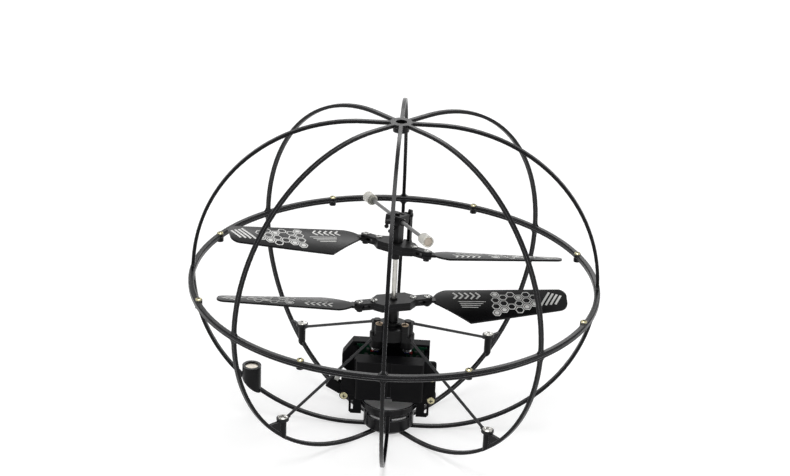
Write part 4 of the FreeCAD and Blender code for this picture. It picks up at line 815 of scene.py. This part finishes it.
    def draw(self, sense: int) -> bmesh.types.BMesh:
        """Draw the print flat.

        Args:
            sense: 1 or -1, the side that the leading edge is on.

        Returns:
            The flat print.
        """
        mesh = bmesh.new()
        self.honeycomb(mesh, sense)
        length, width = self.bar_size
        for step in range(4):
            along, across = self.spaced(self.bar_start, self.bar_step, step)
            self.bar(mesh, (along, across * sense), (length - self.bar_shrink * step, width),
                     self.bar_slant * sense)
        for step in range(5):
            along, across = self.spaced(self.chevron_start, (self.chevron_step, 0.0), step)
            for lean in (-1, 1):
                place = (along, (across + self.chevron_half * lean) * sense)
                self.bar(mesh, place, self.chevron_size, -self.chevron_slant * lean * sense)
        for step in range(4):
            along, across = self.spaced(self.line_start, self.line_step, step)
            size = (self.line_length - self.line_shrink * step, self.fine_line)
            self.bar(mesh, (along, across * sense), size, 0.0)
        return mesh

    def lay(self, seat: BladeSeat) -> None:
        """Lay the print on one blade.

        Args:
            seat: The blade.
        """
        mesh = self.draw(seat.hub.sense)
        bmesh.ops.triangulate(mesh, faces=mesh.faces[:])
        bmesh.ops.subdivide_edges(mesh, edges=mesh.edges[:], cuts=2, use_grid_fill=True)
        for vertex in mesh.verts:
            vertex.co = self.twisted(vertex.co, seat.hub)
        bmesh.ops.recalc_face_normals(mesh, faces=mesh.faces[:])
        if sum(face.normal.z for face in mesh.faces) < 0:
            bmesh.ops.reverse_faces(mesh, faces=mesh.faces[:])
        bmesh.ops.transform(mesh, matrix=seat.matrix(self.pivot), verts=mesh.verts[:])
        piece = add_piece(mesh, seat.node.replace("blade", "print"))
        skin = piece.modifiers.new("film", "SOLIDIFY")
        skin.thickness = self.film
        skin.offset = 1.0
        self.wardrobe.dress(piece, Finish.INK)
        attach(piece, seat.body)
        LOG.info("printed %s", seat.node)

    def build(self) -> None:
        """Lay one print on each blade."""
        for seat in self.seats:
            self.lay(seat)


@dataclass
class WeightEnds:
    """The metal faces of the flybar's weights and the clear lips around them."""

    wardrobe: Wardrobe
    height: float = 101.8 * MM
    bar_turn: float = -35.7
    lip: tuple[tuple[float, float], ...] = (
        (31.0, 1.88), (31.58, 1.88), (31.7, 1.98), (31.7, 2.3), (31.58, 2.44), (31.0, 2.44))
    plug: tuple[tuple[float, float], ...] = (
        (31.2, 0.0), (31.2, 1.84), (31.32, 1.84), (31.34, 1.68),
        (31.5, 1.6), (31.5, 0.5), (31.4, 0.4), (31.4, 0.0))

    def lathe(self, profile: Iterable[tuple[float, float]], place: Matrix) -> bmesh.types.BMesh:
        """Turn a closed outline about the bar's own line.

        Args:
            profile: Corners as distance along the bar and radius, in millimetres.
            place: Where the bar's end goes.

        Returns:
            The turned solid.
        """
        mesh = bmesh.new()
        corners = [mesh.verts.new((along * MM, radius * MM, 0.0)) for along, radius in profile]
        loop = [mesh.edges.new(pair) for pair in zip(corners, corners[1:] + corners[:1])]
        bmesh.ops.spin(mesh, geom=corners + loop, cent=(0.0, 0.0, 0.0), axis=(1.0, 0.0, 0.0),
                       angle=math.tau, steps=48, use_merge=True)
        bmesh.ops.remove_doubles(mesh, verts=mesh.verts[:], dist=0.001 * MM)
        bmesh.ops.delete(mesh, geom=[edge for edge in mesh.edges if not edge.link_faces], context="EDGES")
        bmesh.ops.recalc_face_normals(mesh, faces=mesh.faces[:])
        for face in mesh.faces:
            face.smooth = False
        bmesh.ops.transform(mesh, matrix=place, verts=mesh.verts[:])
        return mesh

    def build(self) -> None:
        """Finish both ends of the flybar."""
        for word, half_turn in (("right", 0.0), ("left", 180.0)):
            heading = turn(self.bar_turn + half_turn, "Z")
            place = Matrix.Translation(UP * self.height) @ UPPER_HUB.stance() @ heading
            for kind, profile, finish, slot in (("lip", self.lip, Finish.WEIGHT, "pale_plastic"),
                                                ("plug", self.plug, Finish.PLUG, "weight_metal")):
                piece = add_piece(self.lathe(profile, place), f"flybar_{kind}_{word}")
                self.wardrobe.dress(piece, finish)
                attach(piece, "flybar")
                LOG.info("turned %s", piece.name)


def add_piece(mesh: bmesh.types.BMesh, name: str) -> bpy.types.Object:
    """Turn a bmesh into an object in the scene.

    Args:
        mesh: The mesh, which is freed.
        name: The object's name.

    Returns:
        The object.
    """
    data = bpy.data.meshes.new(name)
    mesh.to_mesh(data)
    mesh.free()
    piece = bpy.data.objects.new(name, data)
    bpy.context.scene.collection.objects.link(piece)
    return piece


@dataclass(frozen=True)
class Lamp:
    """A soft oblong lamp: where it hangs, its size in metres and its power in watts."""

    name: str
    place: tuple[float, float, float]
    width: float
    height: float
    power: float


@dataclass
class Studio:
    """The pale floor, the soft lights and the camera."""

    azimuth: float = 1.79
    elevation: float = 24.85
    roll: float = 2.52
    distance: float = 795.2 * MM
    target: Vector = field(default_factory=lambda: Vector((-0.57, 0.0, 92.6)) * MM)
    lens: float = 84.7
    sensor: float = 36.0
    floor_size: float = 12.0
    floor_colour: float = 0.8
    seen_colour: float = 0.55
    near_glow: float = 0.57
    far_glow: float = 0.86
    world_level: float = 0.34
    lamps: tuple[Lamp, ...] = (
        Lamp("overhead", (0.0, -0.1, 1.15), 0.36, 0.9, 7.0),
        Lamp("left_strip", (-1.0, -0.35, 0.5), 0.14, 0.9, 3.6),
        Lamp("right_strip", (1.0, -0.35, 0.5), 0.14, 0.9, 3.6),
        Lamp("low_back", (0.1, 1.2, 0.8), 0.7, 0.3, 3.0),
    )

    def camera(self) -> None:
        """Stand the camera at the viewing angle."""
        side, tilt, lean = (math.radians(angle) for angle in (self.azimuth, self.elevation, self.roll))
        back = Vector((math.sin(side) * math.cos(tilt), -math.cos(side) * math.cos(tilt), math.sin(tilt)))
        right = (-back).cross(UP).normalized()
        above = right.cross(-back)
        across = right * math.cos(lean) + above * math.sin(lean)
        top = above * math.cos(lean) - right * math.sin(lean)
        data = bpy.data.cameras.new("camera")
        data.lens = self.lens
        data.sensor_width = self.sensor
        data.sensor_fit = "HORIZONTAL"
        data.clip_start = 0.01
        data.clip_end = 50.0
        camera = bpy.data.objects.new("camera", data)
        rotation = Matrix((across, top, back)).transposed().to_4x4()
        camera.matrix_world = Matrix.Translation(self.target + back * self.distance) @ rotation
        bpy.context.scene.collection.objects.link(camera)
        bpy.context.scene.camera = camera

    def floor(self) -> None:
        """Lay the floor, which the camera sees as white with the object's shadow on it."""
        mesh = bmesh.new()
        bmesh.ops.create_grid(mesh, x_segments=1, y_segments=1, size=self.floor_size / 2)
        piece = add_piece(mesh, "floor")
        graph = Graph.material("studio_floor")
        plain, half = (graph.node("ShaderNodeBsdfDiffuse", {}, {"Color": (shade, shade, shade, 1.0)}, "BSDF")
                       for shade in (self.floor_colour, self.seen_colour))
        reach = graph.node("ShaderNodeVectorMath", {"operation": "LENGTH"}, {0: graph.place()}, "Value")
        distance = graph.ramp(reach * 0.5, ((0.15, 0.0), (0.7, 1.0)))
        level = graph.blend(distance, (self.near_glow,) * 3, (self.far_glow,) * 3)
        glow = graph.node("ShaderNodeEmission", {}, {"Color": level, "Strength": 1.0}, "Emission")
        seen = graph.node("ShaderNodeAddShader", {}, {0: half, 1: glow})
        graph.close(graph.node("ShaderNodeMixShader", {}, {0: graph.backdrop_rays(), 1: plain, 2: seen}))
        piece.data.materials.append(graph.owner)

    def world(self) -> None:
        """Set the soft surrounding light and the white that the camera sees."""
        world = bpy.data.worlds.new("studio")
        bpy.context.scene.world = world
        graph = Graph(world)
        sockets = {"Value": graph.backdrop_rays(), "To Min": self.world_level, "To Max": 1.0}
        level = graph.node("ShaderNodeMapRange", {}, sockets, "Result")
        background = graph.node("ShaderNodeBackground", {}, {"Strength": level})
        graph.close(background, "ShaderNodeOutputWorld")

    def hang(self, lamp: Lamp) -> None:
        """Hang a lamp so that it faces the object.

        Args:
            lamp: The lamp.
        """
        data = bpy.data.lights.new(lamp.name, "AREA")
        data.shape = "RECTANGLE"
        data.size = lamp.width
        data.size_y = lamp.height
        data.energy = lamp.power
        made = bpy.data.objects.new(lamp.name, data)
        place = Vector(lamp.place)
        facing = (self.target - place).to_track_quat("-Z", "Y").to_matrix().to_4x4()
        made.matrix_world = Matrix.Translation(place) @ facing
        bpy.context.scene.collection.objects.link(made)

    def build(self) -> None:
        """Set everything up."""
        self.camera()
        self.floor()
        self.world()
        for lamp in self.lamps:
            self.hang(lamp)
        bpy.context.scene.view_settings.view_transform = "Standard"


def main() -> None:
    """Build the looks in order."""
    logging.basicConfig(level=logging.INFO, format="%(name)s: %(message)s")
    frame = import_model()
    wardrobe = Wardrobe()
    Studio().build()
    SolidPieces(frame, wardrobe).build()
    BladePrints(wardrobe).build()
    WeightEnds(wardrobe).build()


if __name__ == "__main__":
    main()
